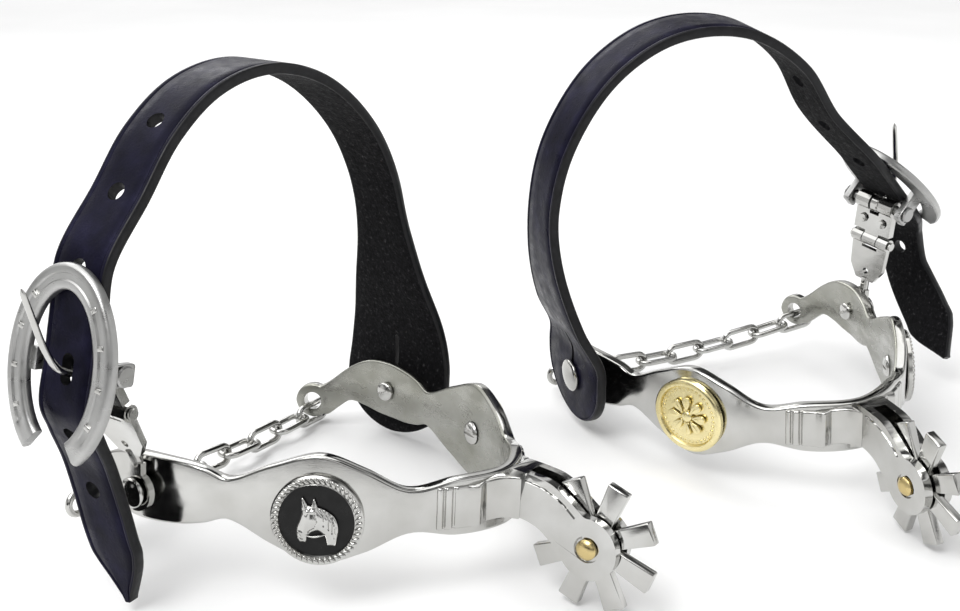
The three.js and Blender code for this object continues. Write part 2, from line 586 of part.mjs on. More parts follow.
// ---------------------------------------------------------------- one spur
// out is the X direction of the buckle side; pose says how the strap stands and hangs.
function makeSpur(prefix, out, pose) {
  const spur = new THREE.Group();
  const named = (name) => `${prefix}_${name}`;

  add(spur, named('heel_band'), bandGeometry(out), STEEL);
  add(spur, named('shank'), shankGeometry(), STEEL, sideways);
  const axle = v3(0, ROWEL.y, ROWEL.z);
  const rowel = rowelGeometry().rotateZ(radians(pose.rowelTurn));
  add(spur, named('rowel'), rowel, STEEL, sideways.clone().setPosition(axle));
  add(spur, named('rowel_pin'), pinGeometry(), BRASS, sideways.clone().setPosition(axle));

  const face = BAND.thickness / 2 + GAP;
  const fieldHeight = face + CONCHO.thickness - CONCHO.field + GAP + 0.4;
  for (const [word, side] of [['outer', out], ['inner', -out]]) {
    const isOuter = word === 'outer';
    const height = conchoHeight(isOuter);
    const emblem = isOuter ? horseEmblem() : flowerEmblem();
    add(spur, named(`${word}_concho`), conchoGeometry(), isOuter ? ENAMEL : GOLD,
      seat(side, LOBE_AT, height, face));
    add(spur, named(`${word}_concho_emblem`), emblem, isOuter ? STEEL : GOLD,
      seat(side, LOBE_AT, height, fieldHeight));
    add(spur, named(`${word}_concho_screw`), screwGeometry(), STEEL,
      seat(side, LOBE_AT, height, 0));
  }
  const standOff = widestX - onBand(STUD_AT).point.x - BAND.thickness / 2;
  const leatherAtStud = STRAP.thickness + 2 * GAP + standOff;
  const eyeRoom = HANGER.plate + 2 * HANGER.play + standOff;
  add(spur, named('strap_button'), studGeometry(leatherAtStud, STUD.button), STEEL, studSeat(-out));
  add(spur, named('hanger_stud'), studGeometry(eyeRoom, STUD.hangerHead), STEEL, studSeat(out));
  addChain(spur, prefix);

  // What swings with the strap is drawn upright on the line of the two studs, then leant back.
  const swing = new THREE.Group();
  swing.position.set(0, onBand(STUD_AT).point.y, 0);
  swing.rotation.x = radians(pose.lean);
  spur.add(swing);

  // Directions of the buckle and of the hanger below it, from their tilts in the loop's plane.
  const turn = new THREE.Matrix4().makeRotationZ(out * radians(pose.twist));
  const tilted = (angle) => v3(out * Math.sin(angle), 0, Math.cos(angle)).applyMatrix4(turn);
  const up = tilted(radians(-pose.buckleTilt));
  const outward = tilted(radians(90 - pose.buckleTilt));
  const barLine = up.clone().cross(outward);
  const hangerUp = tilted(radians(pose.hangerLean));
  const eyeCentre = v3(out * (widestX + HANGER.play + HANGER.plate / 2), 0, 0);
  const bar = eyeCentre.clone().setZ(HANGER.stem).addScaledVector(hangerUp, HANGER.length);
  const atBar = frameOf(barLine, up, outward, bar);
  const hangerAxes = frameOf(barLine, hangerUp, barLine.clone().cross(hangerUp), bar);

  add(swing, named('buckle_frame'), buckleFrameGeometry(), SATIN, atBar);
  add(swing, named('buckle_bar'), barGeometry(), SATIN, atBar);
  const raised = new THREE.Matrix4().makeRotationX(radians(pose.tongueRaised));
  add(swing, named('buckle_tongue'), tongueGeometry(), STEEL, atBar.clone().multiply(raised));
  add(swing, named('hanger_upper_plate'), hangerUpperGeometry(), STEEL, hangerAxes);
  add(swing, named('hanger_rivet_rear'), rivetGeometry(-1), STEEL, hangerAxes);
  add(swing, named('hanger_rivet_front'), rivetGeometry(1), STEEL, hangerAxes);
  const knuckle = bar.clone().addScaledVector(hangerUp, -HANGER.upper);
  const atKnuckle = hangerAxes.clone().setPosition(knuckle);
  const eyeFrame = atKnuckle.clone().invert().multiply(
    frameOf(v3(0, 1, 0), v3(0, 0, 1), v3(1, 0, 0), eyeCentre));
  add(swing, named('hanger_lower_plate'), hangerLowerGeometry(eyeFrame), STEEL, atKnuckle);
  add(swing, named('hanger_hinge_pin'), hingePinGeometry(), STEEL, atKnuckle);

  // The strap's middle line: button end, loop, buckle, tail.
  const buttonX = widestX + GAP + STRAP.thickness / 2;
  const buttonEnd = [[-buttonX, -13.2], [-buttonX, -5], [-buttonX, 4], [-buttonX - 0.2, 10]];
  const loop = [...buttonEnd, ...pose.loop].map(([x, z]) => v3(out * x, 0, z));
  const onBuckle = (height) =>
    bar.clone().addScaledVector(up, height).addScaledVector(outward, BUCKLE.leather);
  const tail = pose.tail.map(([x, y, z]) => v3(out * x, y, z));
  const line = new THREE.CatmullRomCurve3(
    [...loop, ...[22, 11, 0, -9].map(onBuckle), ...tail], false, 'centripetal');
  line.arcLengthDivisions = 900;
  const buckleAt = lengthTo(line, onBuckle(0));
  const studAt = lengthTo(line, v3(-out * buttonX, 0, 0));
  const plainAcross = v3(0, -out, 0);
  const buckleAcross = barLine.clone().multiplyScalar(Math.sign(barLine.dot(plainAcross)));
  const acrossAt = (s) =>
    plainAcross.clone().lerp(buckleAcross, THREE.MathUtils.smoothstep(s, buckleAt - 75, buckleAt - 20));
  const holes = [
    { at: studAt, radius: STUD.neck + 0.6 },
    { at: studAt + 9, radius: 0.6, length: 13 },
    { at: buckleAt + 0.4, radius: 1.7, length: 3.4 },
    ...pose.holes.map((offset) => ({ at: buckleAt + offset, radius: STRAP.holes })),
  ];
  const widthAt = strapWidth(studAt, line.getLength());
  add(swing, named('strap'), strapGeometry(line, widthAt, acrossAt, holes), LEATHER);
  return spur;
}

// ---------------------------------------------------------------- the pair
// Loop points are outward distance and height above the studs; tail points are outward distance,
// forward drift and height.
const LEFT = {
  lean: 2, twist: 0, buckleTilt: 9, hangerLean: 28, tongueRaised: 27, rowelTurn: 20.5,
  loop: [[-48.5, 20], [-43.4, 34], [-39, 48], [-32.5, 64.5], [-22, 78], [-4, 89.6], [16, 93.4],
    [33.5, 89.2], [46, 79.8], [54.6, 68]],
  tail: [[66, 0.8, 18], [61.5, 2, 9.5], [59, 1.3, 0.5], [57.6, -0.4, -8], [56, -2.4, -16],
    [55, -4, -23.5]],
  holes: [-55.5, -38, -20.5, 15.5, 32],
};
const RIGHT = {
  lean: 9, twist: 14, buckleTilt: 44, hangerLean: 2, tongueRaised: 27, rowelTurn: 20.5,
  loop: [[-55.5, 22], [-60, 40], [-60.5, 56.5], [-56.4, 73], [-45.4, 89.3], [-31.4, 98], [-17, 100],
    [-1.4, 96.5], [14, 85.5], [25, 69.5]],
  tail: [[68, 9, 22], [70.5, 6.5, 8.3], [71, -6, -3.7], [70, -19, -13]],
  holes: [-55.5, -38, -20.5, 15.5, 32],
};
// Where each heel stands, which way its toe points, and how it tips as it rests on the ground.
const STANCE = {
  left: { x: 0, y: 0, heading: 18.5, pitch: -1, roll: 6.2 },
  right: { x: 95.9, y: -29.1, heading: -18.5, pitch: -0.6, roll: -4.6 },
};

function stand(spur, { x, y, heading, pitch, roll }) {
  spur.rotation.set(radians(pitch), radians(roll), radians(heading), 'ZYX');
  spur.position.set(x, y, 0);
  spur.updateMatrixWorld(true);
  spur.position.z = -new THREE.Box3().setFromObject(spur, true).min.z;
  return spur;
}

const pair = new THREE.Group();
pair.add(stand(makeSpur('left', -1, LEFT), STANCE.left));
pair.add(stand(makeSpur('right', 1, RIGHT), STANCE.right));
pair.updateMatrixWorld(true);
const middle = new THREE.Box3().setFromObject(pair, true).getCenter(v3());
pair.position.set(-middle.x, -middle.y, 0);
pair.updateMatrixWorld(true);

export default pair;
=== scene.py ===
# Looks of a pair of western spurs: polished steel heel bands, spoked rowels, round conchos,
# heel chains, horseshoe buckles and black leather straps.
import json
import math

import bmesh
import bpy
import numpy as np
from mathutils import Matrix, Vector
from mathutils.geometry import delaunay_2d_cdt


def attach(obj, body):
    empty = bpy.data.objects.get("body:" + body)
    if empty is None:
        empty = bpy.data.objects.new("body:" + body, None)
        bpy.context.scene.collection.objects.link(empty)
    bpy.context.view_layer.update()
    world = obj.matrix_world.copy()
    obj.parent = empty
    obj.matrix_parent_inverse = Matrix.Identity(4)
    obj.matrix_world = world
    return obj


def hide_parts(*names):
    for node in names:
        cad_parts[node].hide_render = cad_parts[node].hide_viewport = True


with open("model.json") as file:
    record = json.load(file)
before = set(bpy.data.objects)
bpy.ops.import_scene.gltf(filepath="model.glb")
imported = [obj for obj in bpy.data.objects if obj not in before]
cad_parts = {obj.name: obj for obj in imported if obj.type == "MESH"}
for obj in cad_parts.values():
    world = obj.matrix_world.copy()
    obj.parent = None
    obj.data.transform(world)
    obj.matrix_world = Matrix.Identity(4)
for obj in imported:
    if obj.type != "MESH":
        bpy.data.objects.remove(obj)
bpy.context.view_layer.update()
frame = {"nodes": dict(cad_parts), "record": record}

MM = 0.001
UP = Vector((0, 0, 1))
JOINTS = {joint["name"]: joint for joint in frame["record"]["behaviour"]["joints"]}

# ---- driving dimensions, millimetres
GAP = 0.3
BAND = {
    "thickness": 3.2,
    "corner": 0.75,
    "plan": [(0, 0), (20.9, 11.5), (32.3, 27.3), (39.7, 47), (43.6, 57), (45.8, 64), (46.6, 70.4),
             (46.6, 77), (45.4, 84), (43.2, 90.2), (40.8, 96.2)],
    "top": [(0, 6.8), (14, 6.7), (24.9, 5.2), (34.7, 9.7), (44.5, 12.7), (55.3, 9.3), (65.5, 4.9),
            (71, 6.6), (77, 7.7), (87, 8.3), (94, 7.2), (100, 3.9), (107, -1.6), (118, -7)],
    "bottom": [(0, -6.8), (14, -6.7), (24.9, -5.2), (34.7, -9.7), (44.5, -12.7), (55.3, -9.3),
               (65.5, -4.9), (71, -6.4), (77, -7.4), (87, -7.5), (93.5, -6.3), (99, -5.8),
               (103, -8.6), (107, -11.2), (118, -7)],
}
LOBE_AT = 44.5
STUD_AT = 85.2
EYE = {"at": 110.8, "z": -7.2, "radius": 5.1, "hole": 2.6}
# The collars beside the shank. The profile is height over the band by distance. It flows out of the
# shank's cheek, swells into a round bead, thins, and ends in two upright grooves.
COLLAR = {
    "low": -4.7, "high": 5.2, "lift": 1.3, "root": 0.4, "corner": 0.5,
    "profile": [(4.1, 5.6), (4.6, 4.1), (5.3, 2.9), (6.2, 2.0), (7.4, 1.35), (8.4, 1.1), (9.2, 1.6),
                (10, 1.95), (10.8, 1.6), (11.6, 1.05), (13, 0.85), (14.6, 0.8), (15, 0.35),
                (15.3, 0.3), (15.7, 0.8), (16.3, 0.85), (16.9, 0.8), (17.2, 0.3), (17.5, 0.35),
                (17.9, 0.75), (18.6, 0.6), (19.0, 0.05)],
}
SHANK = {"half": 4, "front": -1.9, "slot": 1.8, "slot_front": -7.6, "end": 7.2}
ROWEL = {"y": -23.7, "z": -6, "radius": 15.2, "half": 1.2, "spokes": 8, "bore": 1.9,
         "turned": 20.5}
PIN = {"radius": 1.5, "head": 2.4, "recess": 3.1, "depth": 0.6}
# "outer" and "inner" say how high each concho sits on its lobe.
CONCHO = {"radius": 10.4, "thickness": 2, "rim": 1.9, "field": 0.9, "cords": 48,
          "outer": -1.7, "inner": -0.5}
CONCHO_SEAT = BAND["thickness"] / 2 + GAP
EMBLEM_SEAT = CONCHO_SEAT + CONCHO["thickness"] - CONCHO["field"] + GAP
STUD = {"neck": 1.9, "button": 4.8, "hanger": 3.5, "rivet": 2.7}
STRAP = {"width": 15.4, "thickness": 2.6, "teardrop": 17.2, "taper": 60, "holes": 2.1, "edge": 0.55}
BUCKLE = {"radius": 12.6, "stretch": 1.5, "half": 2.8, "thickness": 2.4, "back": 6, "leather": 4.2}
BAR = 1.3
HANGER = {"plate": 1.6, "play": 0.6}
LINK_WIRE = 0.9  # half the wire's thickness

# The straps stand in different bends. "out" says on which side the buckle hangs; lean, tilt and
# hanger are degrees. Loop rows are outward distance and height above the studs, and tail rows are
# outward distance, forward drift and height.
POSES = {
    "left": {
        "out": -1, "lean": 2, "tilt": 9, "hanger": 28,
        "loop": [(-48.5, 20), (-43.4, 34), (-39, 48), (-32.5, 64.5), (-22, 78), (-4, 89.6),
                 (16, 93.4), (33.5, 89.2), (46, 79.8), (54.6, 68)],
        "tail": [(66, 0.8, 18), (61.5, 2, 9.5), (59, 1.3, 0.5), (57.6, -0.4, -8),
                 (56, -2.4, -16), (55, -4, -23.5)],
    },
    "right": {
        "out": 1, "lean": 9, "tilt": 44, "hanger": 2,
        "loop": [(-55.5, 22), (-60, 40), (-60.5, 56.5), (-56.4, 73), (-45.4, 89.3), (-31.4, 98),
                 (-17, 100), (-1.4, 96.5), (14, 85.5), (25, 69.5)],
        "tail": [(68, 9, 22), (70.5, 6.5, 8.3), (71, -6, -3.7), (70, -19, -13)],
    },
}
PUNCHED = [-55.5, -38, -20.5, 15.5, 32]  # strap holes, measured from the one that the tongue is in


# ---- curves
class Line:
    """Centripetal curve through points, measured by its own length."""

    def __init__(self, points, samples=1500):
        self.points = np.array(points, float)
        self.t = np.linspace(0, 1, samples + 1)
        steps = np.linalg.norm(np.diff(self.at_t(self.t), axis=0), axis=1)
        self.s = np.concatenate([[0], np.cumsum(steps)])
        self.length = self.s[-1]

    def at_t(self, t):
        p = self.points
        last = len(p) - 1
        padded = np.vstack([2 * p[0] - p[1], p, 2 * p[-1] - p[-2]])
        t = np.clip(np.atleast_1d(t), 0, 1) * last
        i = np.minimum(t.astype(int), last - 1)
        w = (t - i)[:, None]
        p0, p1, p2, p3 = (padded[i + k] for k in range(4))
        d0, d1, d2 = (np.sqrt(np.linalg.norm(b - a, axis=1))[:, None]
                      for a, b in ((p0, p1), (p1, p2), (p2, p3)))
        m1 = ((p1 - p0) / d0 - (p2 - p0) / (d0 + d1) + (p2 - p1) / d1) * d1
        m2 = ((p2 - p1) / d1 - (p3 - p1) / (d1 + d2) + (p3 - p2) / d2) * d1
        cubic = 2 * p1 - 2 * p2 + m1 + m2
        square = -3 * p1 + 3 * p2 - 2 * m1 - m2
        return p1 + m1 * w + square * w ** 2 + cubic * w ** 3

    def at(self, s):
        return self.at_t(np.interp(s, self.s, self.t))

    def tangent(self, s):
        step = 0.02
        ahead = self.at(np.minimum(np.atleast_1d(s) + step, self.length))
        behind = self.at(np.maximum(np.atleast_1d(s) - step, 0))
        run = ahead - behind
        return run / np.linalg.norm(run, axis=1)[:, None]

    def nearest(self, target):
        gaps = np.linalg.norm(self.at_t(self.t) - np.array(target), axis=1)
        return self.s[int(np.argmin(gaps))]


def smoothstep(value, low, high):
    x = np.clip((value - low) / (high - low), 0, 1)
    return x * x * (3 - 2 * x)


def along(table, d):
    """Cubic curve through a table of (position, value) rows."""
    rows = np.array(table, float)
    last = len(rows) - 1
    slopes = [(rows[min(k + 1, last), 1] - rows[max(k - 1, 0), 1])
              / (rows[min(k + 1, last), 0] - rows[max(k - 1, 0), 0]) for k in range(last + 1)]
    i = int(np.clip(np.searchsorted(rows[:, 0], d) - 1, 0, last - 1))
    width = rows[i + 1, 0] - rows[i, 0]
    t = min(max((d - rows[i, 0]) / width, 0), 1)
    ends = rows[i, 1] * (1 + 2 * t) * (1 - t) ** 2 + rows[i + 1, 1] * t * t * (3 - 2 * t)
    return ends + width * (slopes[i] * t * (1 - t) ** 2 - slopes[i + 1] * t * t * (1 - t))


half_plan = [(x, y, 0) for x, y in BAND["plan"]]
BAND_LINE = Line([(-x, y, 0) for x, y, _ in half_plan[:0:-1]] + half_plan)
ARM = BAND_LINE.length / 2


def on_band(d):
    """Point and outward direction on the band's centreline; d is negative on the -X arm."""
    s = min(max(ARM + d, 0), 2 * ARM)
    x, y, _ = BAND_LINE.at(s)[0]
    tx, ty, _ = BAND_LINE.tangent(s)[0]
    return Vector((x, y, 0)), Vector((ty, -tx, 0))


STUD_POINT = on_band(STUD_AT)[0]
WIDEST = BAND["thickness"] / 2 + max(on_band(d)[0].x for d in np.linspace(0, ARM, 60))


# ---- frames
def axes_matrix(x, y, z, origin):
    matrix = Matrix((x, y, z)).transposed().to_4x4()
    matrix.translation = origin
    return matrix


def spur_frame(side):
    """The spur's own frame, in millimetres, from its rowel and strap joints."""
    turning = JOINTS[f"{side}_rowel_spin"]
    across = Vector(turning["axis"]).normalized()
    axle = Vector(turning["pos_m"])
    run = Vector(JOINTS[f"{side}_strap_swing"]["pos_m"]) - axle
    run = (run - across * run.dot(across)).normalized()
    rise = across.cross(run)
    tip = math.atan2(-ROWEL["z"], STUD_POINT.y - ROWEL["y"])
    forward = math.cos(tip) * run - math.sin(tip) * rise
    up = across.cross(forward)
    origin = axle - (forward * ROWEL["y"] + up * ROWEL["z"]) * MM
    return axes_matrix(across, forward, up, origin) @ Matrix.Scale(MM, 4)


def seat(side, distance, height, outwards):
    """Seat for a round fitting: local Z points outwards, local Y points up."""
    point, out = on_band(side * distance)
    place = point + out * outwards
    place.z = height
    return axes_matrix(UP.cross(out), UP, out, place)


def spin(angle, axis="Z"):
    return Matrix.Rotation(angle, 4, axis)


def turns(count):
    """Evenly spread angles of a whole turn."""
    return np.arange(count) * 2 * math.pi / count


SIDEWAYS = Matrix(((0, 0, 1, 0), (1, 0, 0, 0), (0, 1, 0, 0), (0, 0, 0, 1)))
AXLE = Matrix.Translation((0, ROWEL["y"], ROWEL["z"])) @ SIDEWAYS


# ---- meshes
def in_scene(name, data):
    obj = bpy.data.objects.new(name, data)
    bpy.context.scene.collection.objects.link(obj)
    return obj


def to_object(name, points, faces, matrix, materials=None, smooth=40, index=None):
    """A new piece from points in millimetres, of steel by default; its faces turn outwards."""
    mesh = bpy.data.meshes.new(name)
    mesh.from_pydata([matrix @ Vector(p) for p in points], [], faces)
    obj = in_scene(name, mesh)
    for material in materials or [STEEL]:
        mesh.materials.append(material)
    if index is not None:
        mesh.polygons.foreach_set("material_index", index)
    tidy = bmesh.new()
    tidy.from_mesh(mesh)
    bmesh.ops.remove_doubles(tidy, verts=tidy.verts, dist=1e-7)
    bmesh.ops.recalc_face_normals(tidy, faces=tidy.faces)
    tidy.to_mesh(mesh)
    tidy.free()
    shade(obj, smooth)
    return obj


def shade(obj, angle=40):
    mesh = obj.data
    mesh.shade_smooth()
    mesh.set_sharp_from_angle(angle=math.radians(angle))


def ring_faces(count, size, loop=False):
    """Quads between rings of points, with a flat cap on each open end."""
    faces = []
    for r in range(count if loop else count - 1):
        a, b = r * size, ((r + 1) % count) * size
        faces += [(a + k, a + (k + 1) % size, b + (k + 1) % size, b + k) for k in range(size)]
    if not loop:
        faces.append(tuple(range(size)))
        faces.append(tuple(range((count - 1) * size, count * size)))
    return faces


def skin(name, rings, matrix, materials=None, loop=False, smooth=40, index=None):
    points = [p for ring in rings for p in ring]
    faces = ring_faces(len(rings), len(rings[0]), loop)
    return to_object(name, points, faces, matrix, materials, smooth, index)


def lathe(name, profile, matrix, sides, materials=None):
    """A round piece about local Z from (radius, z) rows that start and end on the axis."""
    rings = [[(x, y, z) for x, y in circle(0, 0, radius, sides)] for radius, z in profile[1:-1]]
    points = [p for ring in rings for p in ring]
    faces = ring_faces(len(rings), sides)[:-2]
    for ring, z in ((0, profile[0][1]), (len(rings) - 1, profile[-1][1])):
        points.append((0, 0, z))
        faces += [(ring * sides + k, ring * sides + (k + 1) % sides, len(points) - 1)
                  for k in range(sides)]
    return to_object(name, points, faces, matrix, materials, 35)


def mirrored(half):
    """Profile of a piece with two like ends, from its upper half."""
    return [(r, -z) for r, z in half[::-1]] + half


def slab_of(name, outline, low, high, matrix, materials=None):
    """A flat piece: an outline in local X-Y between two heights."""
    points = [(x, y, z) for z in (low, high) for x, y in outline]
    return to_object(name, points, ring_faces(2, len(outline)), matrix, materials)


def circle(x, y, radius, sides=40, start=0.0, sweep=2 * math.pi, closed=True):
    steps = sides if closed else sides - 1
    return [(x + radius * math.cos(start + sweep * k / steps),
             y + radius * math.sin(start + sweep * k / steps)) for k in range(sides)]


def rectangle(x, y):
    """Outline that reaches x and y to each side."""
    return [(-x, -y), (x, -y), (x, y), (-x, y)]


def drill(radius, reach, matrix, sides=40, materials=None):
    """Round tool about local Z."""
    return slab_of("drill", circle(0, 0, radius, sides), -reach, reach, matrix, materials)


def rail(points, count, section_at):
    """Rings along a curve, from the (sideways, upwards) rows for each share of its length."""
    path = Line(points, 200)
    rings = []
    for s in np.linspace(0, path.length, count):
        x, y, z = path.at(s)[0]
        tx, ty, _ = path.tangent(s)[0]
        rings.append([(x - ty * a, y + tx * a, z + b) for a, b in section_at(s / path.length)])
    return rings


def slot_outline(radius, length):
    """Hole drawn out along local X."""
    sides = 28
    outline = []
    for k in range(sides):
        a = 2 * math.pi * (k + 0.5) / sides
        outline.append((math.copysign(length / 2, math.cos(a)) + radius * math.cos(a),
                        radius * math.sin(a)))
    return outline


def cut(obj, tools, smooth=40):
    """Takes the tools' shapes out of a piece."""
    for tool in tools:
        bite = obj.modifiers.new("cut", "BOOLEAN")
        bite.object = tool
        bite.operation = "DIFFERENCE"
        bite.solver = "EXACT"
    settle(obj)
    for tool in tools:
        bpy.data.objects.remove(tool)
    shade(obj, smooth)


def settle(obj):
    """Applies a piece's modifiers to its mesh."""
    view = bpy.context.evaluated_depsgraph_get()
    mesh = bpy.data.meshes.new_from_object(obj.evaluated_get(view))
    obj.modifiers.clear()
    obj.data = mesh


def bevel(obj, width, segments=2, angle=35, apply=True):
    edge = obj.modifiers.new("bevel", "BEVEL")
    edge.width = width * MM
    edge.segments = segments
    edge.limit_method = "ANGLE"
    edge.angle_limit = math.radians(angle)
    edge.use_clamp_overlap = True
    if apply:
        settle(obj)
        shade(obj, 50)


def joined(name, parts):
    """Several meshes as one piece; material slots are kept by name."""
    whole = bmesh.new()
    materials = []
    for part in parts:
        slots = []
        for material in part.data.materials:
            if material not in materials:
                materials.append(material)
            slots.append(materials.index(material))
        start = len(whole.faces)
        whole.from_mesh(part.data)
        whole.faces.ensure_lookup_table()
        for face in whole.faces[start:]:
            face.material_index = slots[face.material_index]
        bpy.data.objects.remove(part)
    mesh = bpy.data.meshes.new(name)
    whole.to_mesh(mesh)
    whole.free()
    obj = in_scene(name, mesh)
    for material in materials:
        mesh.materials.append(material)
    return obj


def keep(obj, side, body, node):
    """Puts a finished piece in its CAD node's place."""
    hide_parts(f"{side}_{node}")
    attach(obj, f"{side}_{body}")


# ---- materials
class Nodes:
    """Short helpers for the procedural detail of a material or a world."""

    def __init__(self, owner, place):
        owner.use_nodes = True
        self.tree = owner.node_tree
        self.place = self.tree.nodes.new("ShaderNodeTexCoord").outputs[place]

    def node(self, kind, **values):
        made = self.tree.nodes.new(kind)
        for key, value in values.items():
            made.inputs[key.replace("_", " ")].default_value = value
        return made

    def link(self, output, target):
        self.tree.links.new(output, target)

    def noise(self, scale, detail=4, stretch=None):
        made = self.node("ShaderNodeTexNoise", Scale=scale, Detail=detail)
        source = self.place
        if stretch:
            mapping = self.node("ShaderNodeMapping", Scale=stretch)
            self.link(source, mapping.inputs["Vector"])
            source = mapping.outputs["Vector"]
        self.link(source, made.inputs["Vector"])
        return made.outputs["Fac"]

    def ramp(self, source, stops):
        made = self.tree.nodes.new("ShaderNodeValToRGB")
        ends = made.color_ramp.elements
        ends[0].position, ends[0].color = stops[0]
        ends[1].position, ends[1].color = stops[-1]
        for position, color in stops[1:-1]:
            ends.new(position).color = color
        self.link(source, made.inputs["Fac"])
        return made.outputs["Color"]

    def spread(self, source, low, high):
        """Stretches a noise's middle range from low to high."""
        made = self.node("ShaderNodeMapRange", From_Min=0.35, From_Max=0.65,
                         To_Min=low, To_Max=high)
        self.link(source, made.inputs["Value"])
        return made.outputs["Result"]

    def bump(self, source, strength, distance, under=None):
        made = self.node("ShaderNodeBump", Strength=strength, Distance=distance)
        self.link(source, made.inputs["Height"])
        if under:
            self.link(under, made.inputs["Normal"])
        return made.outputs["Normal"]


class Paint(Nodes):
    """A material with set shader sockets, to be finished with procedural ones."""

    def __init__(self, name, **sockets):
        self.material = bpy.data.materials.new(name)
        super().__init__(self.material, "Object")
        self.shader = self.tree.nodes["Principled BSDF"]
        for key, value in sockets.items():
            self.shader.inputs[key.replace("_", " ")].default_value = value

    def finish(self, color, roughness=None, normal=None):
        for source, socket in ((color, "Base Color"), (roughness, "Roughness"), (normal, "Normal")):
            if source:
                self.link(source, self.shader.inputs[socket])
        return self.material


def grey(value):
    return value, value, value, 1


def metal(name, dark, light, smooth, rough, scratch):
    """Bare metal: cloudy colour, wiping marks in its gloss and hair scratches in its surface."""
    paint = Paint(name, Metallic=1.0)
    color = paint.ramp(paint.noise(70, 5), [(0.3, dark), (0.7, light)])
    wiped = paint.noise(140, 6, (1, 1, 3))
    roughness = paint.spread(wiped, smooth, rough)
    hair = paint.bump(paint.noise(14, 3, (60, 60, 900)), scratch, 0.00006)
    soft = paint.bump(paint.noise(220, 3), scratch * 0.6, 0.0001, hair)
    return paint.finish(color, roughness, soft)


def enamel():
    paint = Paint("black_enamel", Coat_Weight=0.12, Coat_Roughness=0.15, Specular_IOR_Level=0.2)
    color = paint.ramp(paint.noise(400, 4), [(0.3, grey(0.002)), (0.8, grey(0.007))])
    return paint.finish(color, paint.spread(paint.noise(300), 0.25, 0.45),
                        paint.bump(paint.noise(900, 3), 0.1, 0.0001))


def leather_face():
    """Finished grain side: fine pores, a soft bluish sheen, and a few lighter scuffs."""
    paint = Paint("leather_face", Specular_IOR_Level=0.06)
    paint.shader.inputs["Specular Tint"].default_value = (0.6, 0.6, 1, 1)
    color = paint.ramp(paint.noise(180, 9), [(0.3, (0.005, 0.0048, 0.009, 1)),
                                             (0.55, (0.008, 0.0075, 0.017, 1)),
                                             (0.8, (0.015, 0.014, 0.034, 1))])
    pores = paint.node("ShaderNodeTexVoronoi", Scale=1900.0)
    paint.link(paint.place, pores.inputs["Vector"])
    grain = paint.bump(pores.outputs["Distance"], 0.12, 0.0002)
    creased = paint.bump(paint.noise(900, 5), 0.1, 0.0003, grain)
    return paint.finish(color, paint.spread(paint.noise(320, 6), 0.26, 0.42), creased)


def leather_back():
    """Rough flesh side: open fibres and pale specks."""
    paint = Paint("leather_back", Sheen_Weight=0.02, Sheen_Roughness=0.6, Specular_IOR_Level=0.1)
    color = paint.ramp(paint.noise(1100, 10), [(0.35, (0.0025, 0.0025, 0.003, 1)),
                                               (0.6, (0.006, 0.006, 0.007, 1)),
                                               (0.78, (0.05, 0.048, 0.05, 1))])
    fibres = paint.bump(paint.noise(1600, 10), 0.7, 0.0005)
    felted = paint.bump(paint.noise(420, 8), 0.4, 0.0006, fibres)
    return paint.finish(color, paint.spread(paint.noise(700, 5), 0.75, 1.0), felted)


def leather_edge():
    paint = Paint("leather_edge", Specular_IOR_Level=0.25)
    color = paint.ramp(paint.noise(500, 6), [(0.3, (0.003, 0.003, 0.004, 1)),
                                             (0.8, (0.01, 0.01, 0.012, 1))])
    return paint.finish(color, paint.spread(paint.noise(350), 0.3, 0.5),
                        paint.bump(paint.noise(700, 6, (1, 1, 4)), 0.2, 0.0002))


STEEL = metal("polished_steel", (0.45, 0.445, 0.425, 1), (0.58, 0.58, 0.565, 1), 0.07, 0.18, 0.12)
# Darker, yellower steel for the band's inner faces: painted shade with a yellowish painted
# reflection; it is also rougher.
INNER_SHADE_STEEL = metal("inner_shade_steel", (0.27, 0.27, 0.235, 1), (0.4, 0.4, 0.375, 1), 0.2, 0.38, 0.15)
SATIN = metal("satin_steel", (0.36, 0.36, 0.355, 1), (0.48, 0.48, 0.47, 1), 0.26, 0.4, 0.3)
GOLD = metal("pale_gold", (0.72, 0.62, 0.32, 1), (0.9, 0.8, 0.46, 1), 0.16, 0.34, 0.15)
BRASS = metal("brass", (0.52, 0.4, 0.17, 1), (0.68, 0.55, 0.28, 1), 0.2, 0.4, 0.2)
ENAMEL = enamel()
LEATHER = [leather_face(), leather_back(), leather_edge()]
FACE, BACK, EDGE = range(3)  # places in LEATHER


# ---- heel band
def collar(arm, place):
    """Collar on one side of the shank, rooted in the band; it rises towards the shank's cheek."""
    profile, root = COLLAR["profile"], COLLAR["root"]
    rings = []
    for d in np.arange(profile[0][0], profile[-1][0], 0.13):
        point, out = on_band(arm * d)
        rise = max(along(profile, d), 0.05)
        near = 1 - float(smoothstep(d, profile[0][0], 12))
        out = out.lerp(Vector((0, -1, 0)), near).normalized()
        low = COLLAR["low"] + COLLAR["lift"] * near
        high = COLLAR["high"] + COLLAR["lift"] * near
        ring = []
        for a, b in rounded_section(rise / 2 + root, (high - low) / 2, COLLAR["corner"]):
            spot = point + out * (BAND["thickness"] / 2 + a + rise / 2 - root)
            ring.append((spot.x, spot.y, b + (high + low) / 2))
        rings.append(ring)
    return skin("collar", rings, place, smooth=45)


def band_stations(end):
    """Distances along one arm: close together round the eye."""
    body = np.arange(0, EYE["at"] - EYE["radius"], 1.2)
    round_end = EYE["at"] - EYE["radius"] * np.cos(np.linspace(0, math.pi, 26))
    return np.concatenate([body, np.minimum(round_end, end)])


def rounded_section(half_width, half_height, corner):
    r = min(corner, half_height * 0.95, half_width * 0.95)
    steps = 4
    points = []
    for q, (sx, sy) in enumerate(((1, 1), (-1, 1), (-1, -1), (1, -1))):
        for k in range(steps):
            a = math.pi / 2 * (q + k / (steps - 1))
            points.append((sx * (half_width - r) + r * math.cos(a),
                           sy * (half_height - r) + r * math.sin(a)))
    return points


